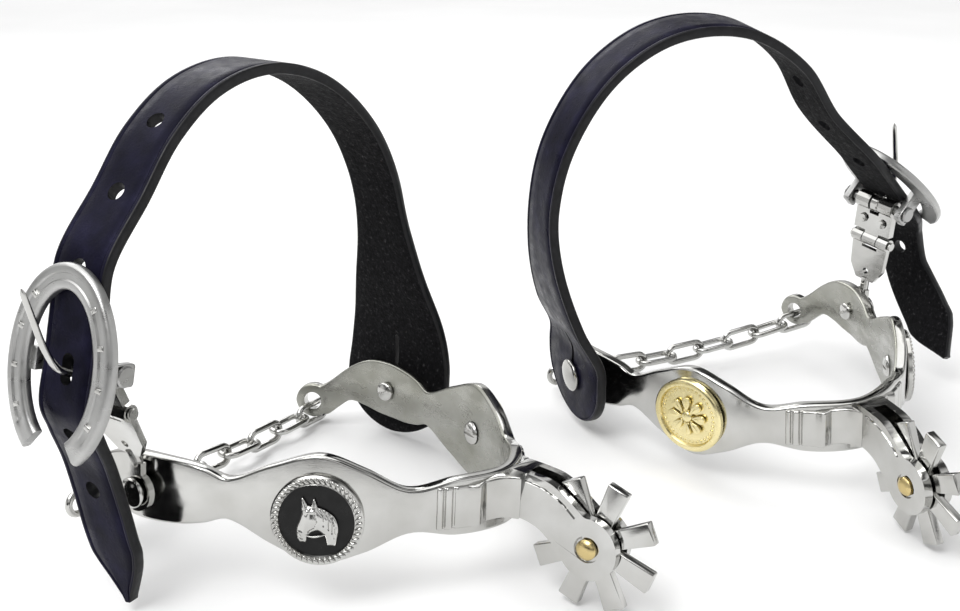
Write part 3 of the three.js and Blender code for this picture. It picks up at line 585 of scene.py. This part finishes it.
def heel_band(side, place):
    end = EYE["at"] + EYE["radius"] - 0.05
    arm = band_stations(end)
    rings = []
    for d in [*(-arm[:0:-1]), *arm]:
        reach = abs(d)
        top, bottom = along(BAND["top"], reach), along(BAND["bottom"], reach)
        bulge = EYE["radius"] ** 2 - (reach - EYE["at"]) ** 2
        if bulge > 0 or reach > EYE["at"]:
            tall = math.sqrt(max(bulge, 0))
            past = reach > EYE["at"]
            top = EYE["z"] + tall if past else max(top, EYE["z"] + tall)
            bottom = EYE["z"] - tall if past else min(bottom, EYE["z"] - tall)
        point, out = on_band(d)
        ring = []
        for a, b in rounded_section(BAND["thickness"] / 2, (top - bottom) / 2, BAND["corner"]):
            spot = point + out * a
            ring.append((spot.x, spot.y, b + (top + bottom) / 2))
        rings.append(ring)
    size = len(rings[0])
    # The face towards the boot gets darker, yellower, rougher steel: its colour is painted shade
    # with a yellowish painted reflection.
    shaded_inner_faces = [int(size // 4 <= k < 3 * size // 4 - 1) for k in range(size)]
    index = shaded_inner_faces * (len(rings) - 1) + [0, 0]
    band = skin("plain_band", rings, place, [STEEL, INNER_SHADE_STEEL], smooth=45, index=index)
    eyes = [place @ seat(arm_side, EYE["at"], EYE["z"], 0) for arm_side in (-1, 1)]
    cut(band, [drill(EYE["hole"], 8, eye) for eye in eyes], 45)
    whole = joined(f"{side}_band", [band, collar(-1, place), collar(1, place)])
    keep(whole, side, "spur", "heel_band")


# ---- shank, rowel and pin
def spline(points, steps=6):
    """Smooth run through flat points."""
    line = Line([(x, y, 0) for x, y in points], 200)
    stations = np.linspace(0, line.length, steps * (len(points) - 1) + 1)
    return [tuple(p[:2]) for p in line.at(stations)]


def shank_outline():
    top = spline([(-4.6, 8.2), (-9, 7.8), (-14, 6.9), (-18.6, 4.2), (-22.2, 1.5)])
    nose = circle(ROWEL["y"], ROWEL["z"], SHANK["end"], 40, 1.35, 1.55 + math.pi, closed=False)
    under = spline([nose[-1], (-14.6, -6.6), (-11.6, -4.4), (-8, -3.2), (-5.4, -3.1), (-3.6, -4.4)])
    corner = circle(-4.3, 5.8, 2.4, 8, 0.05, math.pi / 2, closed=False)
    return [(SHANK["front"], -5.4), *corner, *top[1:], *nose[1:], *under[1:]]


def shank(side, place):
    flat = place @ SIDEWAYS
    half = SHANK["half"]
    body = slab_of(f"{side}_fork", shank_outline(), -half, half, flat)
    front, back = SHANK["slot_front"], ROWEL["y"] - 2 * SHANK["end"]
    opening = [(front, 30), (back, 30), (back, -30), (front, -30)]
    fork = slab_of("slot", opening, -SHANK["slot"], SHANK["slot"], flat)
    axle = place @ AXLE
    inset = half - PIN["depth"]
    recess = circle(0, 0, PIN["recess"])
    tools = [fork, drill(PIN["radius"] + GAP, 8, axle),
             slab_of("recess", recess, inset, 8, axle),
             slab_of("recess", recess, -8, -inset, axle)]
    tools += [engraving(flat, face * half) for face in (-1, 1)]
    cut(body, tools)
    bevel(body, 0.4, 3)
    keep(body, side, "spur", "shank")


def engraving(flat, height):
    """Thin line cut parallel to the cheek's upper edge."""
    points = [(x, y, height) for x, y in ((-7.5, 6.1), (-12.5, 5.3), (-17, 3.1), (-20.4, 0.4))]
    section = [(0.3, 0), (0, 0.3), (-0.3, 0), (0, -0.3)]
    return skin("line", rail(points, 24, lambda share: section), flat)


def rowel(side, place):
    pitch = 2 * math.pi / ROWEL["spokes"]
    root_half, tip_half = 2.1, 2.6
    root = root_half / math.tan(pitch / 2)
    outline = []
    for k in range(ROWEL["spokes"]):
        cos, sin = math.cos(k * pitch), math.sin(k * pitch)
        for r, a in ((root, -root_half), (ROWEL["radius"], -tip_half), (ROWEL["radius"], tip_half)):
            outline.append((r * cos - a * sin, r * sin + a * cos))
    wheel = place @ AXLE @ spin(math.radians(ROWEL["turned"]))
    star = slab_of(f"{side}_star", outline, -ROWEL["half"], ROWEL["half"], wheel)
    eyelet = circle(ROWEL["radius"] * 0.78, 0, 0.9, 20)
    cut(star, [drill(ROWEL["bore"], 5, wheel), slab_of("eyelet", eyelet, -5, 5, wheel)])
    bevel(star, 0.3)
    keep(star, side, "rowel_wheel", "rowel")


def rowel_pin(side, place):
    under = SHANK["half"] - PIN["depth"] + GAP
    crown = under + 1.5
    dome = [(1.3, crown - 0.12), (0.7, crown - 0.02), (0, crown)]
    half = [(PIN["radius"], under), (PIN["head"], under), (PIN["head"], under + 0.6),
            (PIN["head"] - 0.25, under + 0.95), *dome]
    pin = lathe(f"{side}_axle_pin", mirrored(half), place @ AXLE, 40, [BRASS])
    keep(pin, side, "spur", "rowel_pin")


# ---- conchos and studs
def rope_edge(matrix, radius, height):
    """Slanted cord turns round a rim."""
    half_length, half_width = 0.95, 0.46
    rings = []
    for i in range(1, 7):
        a = math.pi * i / 7
        size = half_width * math.sin(a)
        rings.append([(half_length * math.cos(a), size * math.cos(b), size * math.sin(b))
                      for b in turns(8)])
    slant = Matrix.Translation((radius, 0, height)) @ spin(math.radians(38))
    return [skin("cord", rings, matrix @ spin(a) @ slant, smooth=80)
            for a in turns(CONCHO["cords"])]


def outer_concho(side, arm, place):
    radius, thick, rim = CONCHO["radius"], CONCHO["thickness"], CONCHO["rim"]
    floor = thick - CONCHO["field"]
    matrix = place @ seat(arm, LOBE_AT, CONCHO["outer"], CONCHO_SEAT)
    profile = [(0, 0), (radius - 0.3, 0), (radius, 0.3), (radius, thick - 0.8),
               (radius - 0.35, thick - 0.5), (radius - rim + 0.3, thick - 0.5),
               (radius - rim, thick - 0.3), (radius - rim - 0.2, floor), (0, floor)]
    plate = lathe("plate", profile, matrix, 96, [STEEL, ENAMEL])
    middle = matrix.translation
    for face in plate.data.polygons:
        inner = (face.center - middle).length < (radius - rim - 0.3) * MM
        face.material_index = int(inner)
    cords = rope_edge(matrix, radius - rim / 2 - 0.05, thick - 0.42)
    disc = joined(f"{side}_outer_disc", [plate, *cords])
    keep(disc, side, "spur", "outer_concho")


def horse_outline():
    """Horse's head in profile, looking towards local -X, ears up."""
    face = spline([(-3.7, -5), (-4.25, -3.7), (-4.4, -2), (-3.7, 0.2), (-3.1, 2.4)])
    ears = [(-3.35, 4.2), (-3.2, 5.4), (-2.5, 4.5), (-2, 3.55), (-1.2, 3.4), (-0.95, 4.3),
            (-0.6, 5.3), (-0.1, 4.3)]
    neck = spline([(0.2, 3.3), (2.3, 2.5), (4.2, 0.9), (4.9, -1.6), (4.3, -5.4)], 7)
    throat = spline([(2.4, -5.4), (1.9, -3.4), (0.4, -2.2), (-1, -2.5), (-1.9, -3.5), (-2.2, -5)])
    return [*face, *ears, *neck, *throat]


def to_segments(points, starts, ends):
    """Distance of each point to the nearest of some segments."""
    run = ends - starts
    rel = points[:, None] - starts
    share = np.clip((rel * run).sum(2) / (run * run).sum(1), 0, 1)
    return np.linalg.norm(rel - share[..., None] * run, axis=2).min(1)


def inside(points, outline):
    """Which points lie in an outline, by counting the edges that each one's ray crosses."""
    x, y = points[:, :1], points[:, 1:]
    x0, y0 = outline.T
    x1, y1 = np.roll(outline, -1, axis=0).T
    spans = (y0 > y) != (y1 > y)
    with np.errstate(divide="ignore", invalid="ignore"):
        crossing = x0 + (y - y0) / (y1 - y0) * (x1 - x0)
    return (spans & (x < crossing)).sum(1) % 2 == 1


def sculpted(outline, height_at, matrix):
    """Relief whose height is a function of place and of the distance in from its outline."""
    pitch = 0.2
    edge = np.array(outline)
    after = np.roll(edge, -1, axis=0)
    size = len(edge)
    low, high = edge.min(0), edge.max(0)
    columns, rows = (np.arange(low[k], high[k], pitch) for k in (0, 1))
    grid = np.stack(np.meshgrid(columns, rows), axis=2).reshape(-1, 2)
    grid = grid[inside(grid, edge)]
    grid = grid[to_segments(grid, edge, after) > pitch / 2]
    loop = [(k, (k + 1) % size) for k in range(size)]
    flat, _, faces, *_ = delaunay_2d_cdt([Vector(p) for p in (*edge, *grid)], loop, [], 1, 1e-6)
    spots = np.array([tuple(p) for p in flat])
    heights = height_at(spots, to_segments(spots, edge, after))
    points = [(x, y, z) for (x, y), z in zip(spots, heights)]
    base = len(points)
    points += [(x, y, 0) for x, y in spots[:size]]
    walls = [(a, b, base + b, base + a) for a, b in loop]
    back = tuple(range(base, base + size))
    return to_object("relief", points, [*faces, *walls, back], matrix, smooth=60)


# Bridle straps stand up and strands of the mane, jaw and mouth are cut in, as runs of points.
BRIDLE = [[(-4.2, -2.4), (-1.6, -2.9)], [(-2.7, -2.6), (-1.5, 3.1)], [(-3.2, 2.3), (-0.2, 2.5)]]
CUTS = [[(-1.9, -2.6), (-0.5, -1.6), (0.2, 0.2), (-0.3, 2.0)], [(-3.9, -4.1), (-2.9, -3.9)],
        [(0.2, 2.9), (1.6, 1.4), (1.7, -0.6)], [(1.3, 2.7), (2.7, 1.0), (2.8, -1.3)],
        [(2.4, 2.3), (3.6, 0.4), (3.6, -2.2)], [(3.4, 1.4), (4.3, -0.8), (4.0, -3.4)]]


def segments(runs):
    starts = np.array([p for run in runs for p in run[:-1]], float)
    ends = np.array([p for run in runs for p in run[1:]], float)
    return starts, ends


def horse_height(spots, inset):
    """Rounded head and neck with a cheek, an eye, a nostril, a bridle and a mane."""
    def bump(x, y, size):
        return np.exp(-((spots[:, 0] - x) ** 2 + (spots[:, 1] - y) ** 2) / size ** 2)

    height = 0.25 + 0.85 * (1 - np.exp(-inset / 0.75))
    height += 0.22 * bump(-1.1, 0.2, 1.2) + 0.16 * bump(-2.2, 1.45, 0.4)
    height -= 0.3 * bump(-2.2, 1.45, 0.2) + 0.35 * bump(-3.5, -3.5, 0.3)
    height += 0.2 * np.exp(-(to_segments(spots, *segments(BRIDLE)) / 0.22) ** 2)
    height -= 0.3 * np.exp(-(to_segments(spots, *segments(CUTS)) / 0.17) ** 2)
    return height


def bead(matrix, x, z, size, squash):
    steps = 6
    rings = [[(x + size * math.sin(a) * math.cos(b), size * math.sin(a) * math.sin(b),
               z + squash * size * math.cos(a)) for b in turns(14)]
             for a in (math.pi * (i + 0.5) / steps for i in range(steps))]
    return skin("bead", rings, matrix, [GOLD], smooth=80)


def ridge(matrix, points, width, materials=None):
    """Thin raised line through (x, y, z) points, fading at its ends."""
    def section(share):
        half = width * (0.25 + 0.75 * math.sin(math.pi * share))
        return [(half * math.cos(a), half * math.sin(a)) for a in turns(6)]

    return skin("ridge", rail(points, 12, section), matrix, materials, smooth=80)


def horse_emblem(side, arm, place):
    matrix = place @ seat(arm, LOBE_AT, CONCHO["outer"], EMBLEM_SEAT)
    head = sculpted(horse_outline(), horse_height, matrix)
    rein = [(-2.3, -3.4, 0.5), (-0.6, -3.6, 0.45), (1.0, -3.2, 0.5), (2.2, -2.6, 0.8)]
    relief = joined(f"{side}_horse_relief", [head, ridge(matrix, rein, 0.24)])
    keep(relief, side, "spur", "outer_concho_emblem")


def inner_concho(side, arm, place):
    radius, thick, rim = CONCHO["radius"], CONCHO["thickness"], CONCHO["rim"]
    floor = thick - CONCHO["field"]
    matrix = place @ seat(arm, LOBE_AT, CONCHO["inner"], CONCHO_SEAT)
    profile = [(0, 0), (radius - 0.3, 0), (radius, 0.3), (radius, thick - 0.6),
               (radius - 0.4, thick - 0.15), (radius - 0.9, thick),
               (radius - rim + 0.3, thick - 0.15), (radius - rim, thick - 0.6),
               (radius - rim - 0.15, floor), (0, floor)]
    plate = lathe("plate", profile, matrix, 96, [GOLD])
    beads = [bead(matrix @ spin(a), radius - rim - 0.75, floor, 0.42, 0.8) for a in turns(36)]
    disc = joined(f"{side}_inner_disc", [plate, *beads])
    keep(disc, side, "spur", "inner_concho")


def flower_emblem(side, arm, place):
    """Eight domed petals round a beaded middle."""
    matrix = place @ seat(arm, LOBE_AT, CONCHO["inner"], EMBLEM_SEAT)
    outline = [(3.7 + 1.95 * math.cos(a), (0.5 + 0.62 * (1 + math.cos(a)) / 2 * 1.9) * math.sin(a))
               for a in turns(22)]
    parts = []
    for angle in turns(8):
        turn = matrix @ spin(angle)
        petal = slab_of("petal", outline, 0, 0.8, turn, [GOLD])
        bevel(petal, 0.38, 3, 30)
        vein = [(2.2, 0, 0.8), (3.6, 0, 0.82), (5, 0, 0.8)]
        parts += [petal, ridge(turn, vein, 0.16, [GOLD])]
    parts.append(bead(matrix, 0, 0.45, 1.7, 0.45))
    parts += [bead(matrix @ spin(angle), 1.9, 0.55, 0.34, 0.9) for angle in turns(10)]
    relief = joined(f"{side}_flower_relief", parts)
    keep(relief, side, "spur", "inner_concho_emblem")


def screw(side, word, arm, place):
    """Round-headed slotted screw on the band's inner face."""
    inner = -BAND["thickness"] / 2 - GAP
    dome = [(0, inner - 1.15), (1.2, inner - 1.1), (2.2, inner - 0.9), (2.9, inner - 0.5)]
    profile = [*dome, (3.1, inner), (1.3, inner), (1.3, -inner + 0.3), (0, -inner + 0.3)]
    matrix = place @ seat(arm, LOBE_AT, CONCHO[word], 0)
    piece = lathe(f"{side}_{word}_screw", profile, matrix, 40)
    cut(piece, [slab_of("slit", rectangle(4, 0.35), inner - 1.6, inner - 0.6, matrix)])
    keep(piece, side, "spur", f"{word}_concho_screw")


def stud(side, arm, place, node, held, head):
    """Stud riveted through the band, with a low round head."""
    inner = -BAND["thickness"] / 2 - 2.5 * GAP
    under = BAND["thickness"] / 2 + held
    crown = [(head * math.cos(a), under + 0.6 + 1.1 * math.sin(a)) for a in np.linspace(0, 1.45, 8)]
    tail = [(STUD["rivet"] * math.cos(a), inner - 0.25 - 0.95 * math.sin(a))
            for a in np.linspace(1.45, 0, 7)]
    profile = [(0, inner - 1.2), *tail, (STUD["rivet"], inner), (STUD["neck"], inner),
               (STUD["neck"], under), (head - 0.2, under), (head, under + 0.2), *crown,
               (0, under + 1.7)]
    out = Vector((arm, 0, 0))
    matrix = place @ axes_matrix(UP.cross(out), UP, out, on_band(arm * STUD_AT)[0])
    piece = lathe(f"{side}_{node}_turned", profile, matrix, 56)
    keep(piece, side, "spur", node)


# ---- chain
def node_points(node):
    mesh = frame["nodes"][node].data
    return np.array([v.co for v in mesh.vertices])


def chain_link(side, number):
    """Smooth oval link where the CAD link hangs; its axes are found from the CAD link's points."""
    node = f"chain_link_{number}"
    points = node_points(f"{side}_{node}")
    centre = (points.max(0) + points.min(0)) / 2
    for _ in range(2):
        _, _, axes = np.linalg.svd(points - centre, full_matrices=False)
        spans = (points - centre) @ axes.T
        centre = centre + axes.T @ ((spans.max(0) + spans.min(0)) / 2)
    half = (spans.max(0) - spans.min(0)) / 2 / MM
    bend = half[1] - LINK_WIRE
    straight = half[0] - LINK_WIRE - bend
    rings = []
    for end in (1, -1):
        for i in range(13):
            a = -math.pi / 2 + math.pi * i / 12
            out = Vector((end * math.cos(a), end * math.sin(a), 0))
            middle = Vector((end * straight, 0, 0)) + out * bend
            rings.append([middle + (out * math.cos(b) + UP * math.sin(b)) * LINK_WIRE
                          for b in turns(14)])
    long, wide = Vector(axes[0]), Vector(axes[1])
    matrix = axes_matrix(long, wide, long.cross(wide), Vector(centre)) @ Matrix.Scale(MM, 4)
    piece = skin(f"{side}_oval_link_{number}", rings, matrix, loop=True, smooth=80)
    keep(piece, side, "heel_chain", node)


# ---- buckle and hanger
def bar_frame(side):
    """Axes at the buckle bar: X along the bar, Y up the buckle, Z outwards."""
    pose = POSES[side]
    bar = JOINTS[f"{side}_tongue_tilt"]
    line = Vector(bar["axis"]).normalized()
    origin = Vector(bar["pos_m"])
    hanger_up = origin - Vector(JOINTS[f"{side}_hanger_knuckle"]["pos_m"])
    hanger_up = (hanger_up - line * hanger_up.dot(line)).normalized()
    turn = Matrix.Rotation(-math.radians(pose["tilt"] + pose["hanger"]), 3, line)
    middle = Vector(node_points(f"{side}_buckle_frame").mean(0)) - origin
    up = max((turn @ hanger_up, turn.inverted() @ hanger_up),
             key=lambda v: abs(middle.dot(line.cross(v))))
    return axes_matrix(line, up, line.cross(up), origin) @ Matrix.Scale(MM, 4)


def buckle_frame(side, at_bar):
    """Horseshoe with a groove and raised nail heads, and two lugs for the bar."""
    radius, stretch, half = BUCKLE["radius"], BUCKLE["stretch"], BUCKLE["half"]
    low, high = BUCKLE["back"], BUCKLE["back"] + BUCKLE["thickness"]
    sweep = math.radians(151)
    steps = 110
    rings = []
    for i in range(steps + 1):
        a = -sweep + 2 * sweep * i / steps
        normal = Vector((math.sin(a) * stretch, math.cos(a), 0)).normalized()
        point = Vector((radius * math.sin(a), radius * stretch * math.cos(a), 0))
        depth = 0.35 * float(smoothstep(sweep - abs(a), math.radians(10), math.radians(22)))
        section = [(half, low + 0.4), (half, high - 0.9), (half - 0.3, high - 0.3),
                   (half - 0.9, high), (0.9, high), (0.6, high - depth), (-0.6, high - depth),
                   (-0.9, high), (-half + 0.9, high), (-half + 0.3, high - 0.3),
                   (-half, high - 0.9), (-half, low + 0.4), (-half + 0.4, low), (half - 0.4, low)]
        rings.append([point + normal * p + UP * q for p, q in section])
    shoe = skin("shoe", rings, at_bar, [SATIN], smooth=38)
    nails = []
    for angle in (-122, -96, -70, -44, 44, 70, 96, 122):
        a = math.radians(angle)
        spot = Vector((radius * math.sin(a), radius * stretch * math.cos(a), high))
        heading = math.atan2(-math.sin(a) * stretch, math.cos(a))
        turn = at_bar @ Matrix.Translation(spot) @ spin(heading)
        nail = slab_of("nail", rectangle(0.55, 0.85), -0.7, 0.15, turn)
        bevel(nail, 0.15)
        nails.append(nail)
    outline = [(-2.5, -2.6), (-1.9, -3), (1.9, -3), (2.5, -2.6), (2.5, low + 0.5),
               (-2.5, low + 0.5)]
    lugs = []
    for end in (-1, 1):
        turn = at_bar @ Matrix.Translation((end * 9.5, 0, 0)) @ SIDEWAYS
        lug = slab_of("lug", outline, -1, 1, turn, [SATIN])
        cut(lug, [drill(BAR + GAP, 3, turn, 24, [SATIN])])
        bevel(lug, 0.25)
        lugs.append(lug)
    whole = joined(f"{side}_horseshoe", [shoe, *nails, *lugs])
    keep(whole, side, "strap_and_buckle", "buckle_frame")


def buckle_bar(side, at_bar):
    end = 11.4
    half = [(BAR, end - 0.6), (2.3, end - 0.6), (2.35, end - 0.35), (2.0, end), (0, end)]
    turn = at_bar @ spin(math.pi / 2, "Y")
    bar = lathe(f"{side}_cross_bar", mirrored(half), turn, 32, [SATIN])
    keep(bar, side, "strap_and_buckle", "buckle_bar")


def tongue(side, at_bar):
    """Bent wire, thinner at its tip, with an eye round the bar."""
    lifted = at_bar @ spin(math.radians(27), "X")
    path = Line([(0, -0.2, 2.1), (0, 0.7, 4.4), (0, 3.6, 7.2), (0, 9, 8.7), (0, 16, 9.2),
                 (0, 23.5, 9.6)], 400)
    right = Vector((1, 0, 0))
    rings = []
    for u in np.linspace(0, 1, 40):
        point = Vector(path.at(u * path.length)[0])
        up = right.cross(Vector(path.tangent(u * path.length)[0]))
        wide = (1.0 - 0.3 * u) * math.sqrt(max(1 - max(u - 0.94, 0) / 0.0605, 0.02))
        thin = wide * 0.85
        rings.append([point + right * wide * math.cos(a) + up * thin * math.sin(a)
                      for a in turns(16)])
    wire = skin("wire", rings, lifted, smooth=60)
    inner, outer = BAR + GAP, 2.5
    section = [(outer, -1), (outer - 0.3, -1.3), (inner, -1.3),
               (inner, 1.3), (outer - 0.3, 1.3), (outer, 1)]
    eye = [[(z, r * math.cos(a), r * math.sin(a)) for r, z in section] for a in turns(40)]
    ring = skin("eye", eye, lifted, loop=True, smooth=38)
    keep(joined(f"{side}_prong", [wire, ring]), side, "tongue", "buckle_tongue")


# ---- strap
def strap_line(side, at_bar, swing):
    """The strap's middle line in the swing's frame: button end, loop, buckle and tail."""
    pose = POSES[side]
    out = pose["out"]
    button = WIDEST + GAP + STRAP["thickness"] / 2
    start = [(-button, -13.2), (-button, -5), (-button, 4), (-button - 0.2, 10)]
    points = [(out * x, 0, z) for x, z in [*start, *pose["loop"]]]
    to_swing = swing.inverted() @ at_bar
    points += [tuple(to_swing @ Vector((0, height, BUCKLE["leather"])))
               for height in (22, 11, 0, -9)]
    points += [(out * x, y, z) for x, y, z in pose["tail"]]
    line = Line(points)
    buckle_at = line.nearest(to_swing @ Vector((0, 0, BUCKLE["leather"])))
    stud_at = line.nearest((-out * button, 0, 0))
    bar_line = (to_swing.to_3x3() @ Vector((1, 0, 0))).normalized()
    return line, stud_at, buckle_at, bar_line


def half_width(s, stud_at, total):
    half, drop = STRAP["width"] / 2, STRAP["teardrop"]
    from_stud, to_tip = s - stud_at, total - s
    if from_stud < 2:
        return drop * math.sqrt(max(1 - ((from_stud - 2) / (stud_at + 2.02)) ** 2, 0.0004))
    neck = half + (drop - half) * (1 - float(smoothstep(from_stud, 2, STRAP["taper"])))
    return min(neck, 0.7 + to_tip * 0.62 - max(to_tip - 9, 0) * 0.2)


def strap_section(half):
    """Leather section from the outer face round to the inner one, and what each face is."""
    t = STRAP["thickness"] / 2
    edge = min(STRAP["edge"], half * 0.4)
    crease = min(1.5, half * 0.5)
    outer = [(half - edge, t), (half - crease + 0.35, t), (half - crease, t - 0.22),
             (half - crease - 0.35, t), (half * 0.45, t)]
    outer += [(0, t), *((-a, b) for a, b in outer[::-1])]
    left = [(-half + edge * 0.3, t - edge * 0.3), (-half, t - edge), (-half, -t + edge),
            (-half + edge * 0.3, -t + edge * 0.3)]
    inner = [(-half + edge, -t), (-half * 0.5, -t), (0, -t), (half * 0.5, -t), (half - edge, -t)]
    right = [(-a, b) for a, b in left[::-1]]
    side = [EDGE] * (len(left) + 1)
    kinds = [FACE] * (len(outer) - 1) + side + [BACK] * (len(inner) - 1) + side
    return [*outer, *left, *inner, *right], kinds


def strap(side, place, at_bar):
    pose = POSES[side]
    out = pose["out"]
    swing = place @ Matrix.Translation((0, STUD_POINT.y, 0))
    swing = swing @ spin(math.radians(pose["lean"]), "X")
    line, stud_at, buckle_at, bar_line = strap_line(side, at_bar, swing)
    plain = Vector((0, -out, 0))
    bar_across = bar_line * math.copysign(1, bar_line.dot(plain))

    def frame_at(s):
        tangent = Vector(line.tangent(s)[0])
        across = plain.lerp(bar_across, float(smoothstep(s, buckle_at - 75, buckle_at - 20)))
        across = (across - tangent * across.dot(tangent)).normalized()
        return Vector(line.at(s)[0]), tangent, across, across.cross(tangent)

    total = line.length
    head = stud_at * (1 - np.cos(np.linspace(0, math.pi / 2, 22)))
    body = np.arange(stud_at + 1.2, total - 6, 1.2)
    tip = np.linspace(total - 6, total, 14)
    rings = []
    for s in (*head, *body, *tip):
        point, _, across, outwards = frame_at(s)
        section, kinds = strap_section(half_width(s, stud_at, total))
        rings.append([point + across * a + outwards * b for a, b in section])
    index = kinds * (len(rings) - 1) + [EDGE, EDGE]
    leather = skin(f"{side}_leather", rings, swing, LEATHER, smooth=50, index=index)

    # Rows of place, radius and extra length: the button's hole and slit, then the tongue's hole.
    holes = [(stud_at, STUD["neck"] + 0.6, 0), (stud_at + 9, 0.6, 13), (buckle_at + 0.4, 1.7, 3.4)]
    holes += [(buckle_at + offset, STRAP["holes"], 0) for offset in PUNCHED]
    tools = []
    for s, radius, length in holes:
        point, tangent, across, outwards = frame_at(s)
        turn = swing @ axes_matrix(tangent, across, outwards, point)
        punch = slab_of("punch", slot_outline(radius, length), -4.5, 4.5, turn, LEATHER)
        punch.data.polygons.foreach_set("material_index", [EDGE] * len(punch.data.polygons))
        tools.append(punch)
    cut(leather, tools, 50)
    keep(leather, side, "strap_and_buckle", "strap")


# ---- one spur
def kept_node(node, width):
    """A CAD piece whose shape is right gets its steel and broken edges."""
    piece = frame["nodes"][node]
    piece.data.materials.clear()
    piece.data.materials.append(STEEL)
    bevel(piece, width, 2, 30, apply=False)


def make_spur(side):
    out = POSES[side]["out"]
    place = spur_frame(side)
    at_bar = bar_frame(side)
    for make in (heel_band, shank, rowel, rowel_pin):
        make(side, place)
    outer_concho(side, out, place)
    horse_emblem(side, out, place)
    inner_concho(side, -out, place)
    flower_emblem(side, -out, place)
    screw(side, "outer", out, place)
    screw(side, "inner", -out, place)
    stand_off = WIDEST - STUD_POINT.x - BAND["thickness"] / 2
    leather_room = STRAP["thickness"] + 2 * GAP + stand_off
    eye_room = HANGER["plate"] + 2 * HANGER["play"] + stand_off
    stud(side, -out, place, "strap_button", leather_room, STUD["button"])
    stud(side, out, place, "hanger_stud", eye_room, STUD["hanger"])
    for number in range(1, 10):
        chain_link(side, number)
    buckle_frame(side, at_bar)
    buckle_bar(side, at_bar)
    tongue(side, at_bar)
    strap(side, place, at_bar)
    for node in ("hanger_upper_plate", "hanger_lower_plate"):
        kept_node(f"{side}_{node}", 0.2)
    for node in ("hanger_rivet_rear", "hanger_rivet_front", "hanger_hinge_pin"):
        kept_node(f"{side}_{node}", 0.12)


# ---- stage
def floor():
    half_size = 14.0
    points = [(x, y, 0) for x, y in rectangle(half_size, half_size)]
    paint = Paint("pale_floor", Roughness=0.7)
    color = paint.ramp(paint.noise(6, 3), [(0.3, grey(0.86)), (0.7, grey(0.9))])
    plane = to_object("floor", points, [(0, 1, 2, 3)], Matrix.Identity(4), [paint.finish(color)])
    plane.location.z = -0.0005


def area_light(name, place, target, size, power):
    light = bpy.data.lights.new(name, "AREA")
    light.shape = "RECTANGLE"
    light.size, light.size_y = size
    light.energy = power
    obj = in_scene(name, light)
    obj.location = place
    obj.rotation_euler = (Vector(target) - Vector(place)).to_track_quat("-Z", "Y").to_euler()


def studio():
    """Two soft boxes, a wide light overhead, and a room with darker patches for the steel."""
    middle = (0, 0, 0.04)
    area_light("key", (-0.5, -0.1, 0.7), middle, (0.35, 0.35), 2.2)
    area_light("back", (0.15, 0.75, 0.55), middle, (0.8, 0.3), 2)
    sky = bpy.data.lights.new("overhead", "SUN")
    sky.energy = 2.1
    sky.angle = 1.3
    in_scene("overhead", sky).rotation_euler = (-0.2, -0.25, 0)
    world = bpy.data.worlds.new("studio")
    bpy.context.scene.world = world
    room = Nodes(world, "Generated")
    patches = room.noise(1.6, 1)
    shades = room.ramp(patches, [(0.4, grey(0.08)), (0.47, grey(0.55)), (0.56, grey(1))])
    background = room.tree.nodes["Background"].inputs
    room.link(shades, background["Color"])
    background["Strength"].default_value = 0.9
    bpy.context.scene.view_settings.view_transform = "Standard"


def camera():
    """Stands behind the left spur, to its left and above it."""
    azimuth, elevation = math.radians(-39.27), math.radians(19.56)
    back = Vector((math.sin(azimuth) * math.cos(elevation),
                   -math.cos(azimuth) * math.cos(elevation), math.sin(elevation)))
    right = Vector((math.cos(azimuth), math.sin(azimuth), 0))
    lens = bpy.data.cameras.new("camera")
    lens.lens = 46.875
    lens.sensor_width = 36
    lens.clip_start = 0.01
    obj = in_scene("camera", lens)
    heel = spur_frame("left").translation
    offset = Vector((-0.1669, -0.1953, 0.1371))
    obj.matrix_world = axes_matrix(right, back.cross(right), back, heel + offset)
    bpy.context.scene.camera = obj


camera()
for spur_side in ("left", "right"):
    make_spur(spur_side)
floor()
studio()
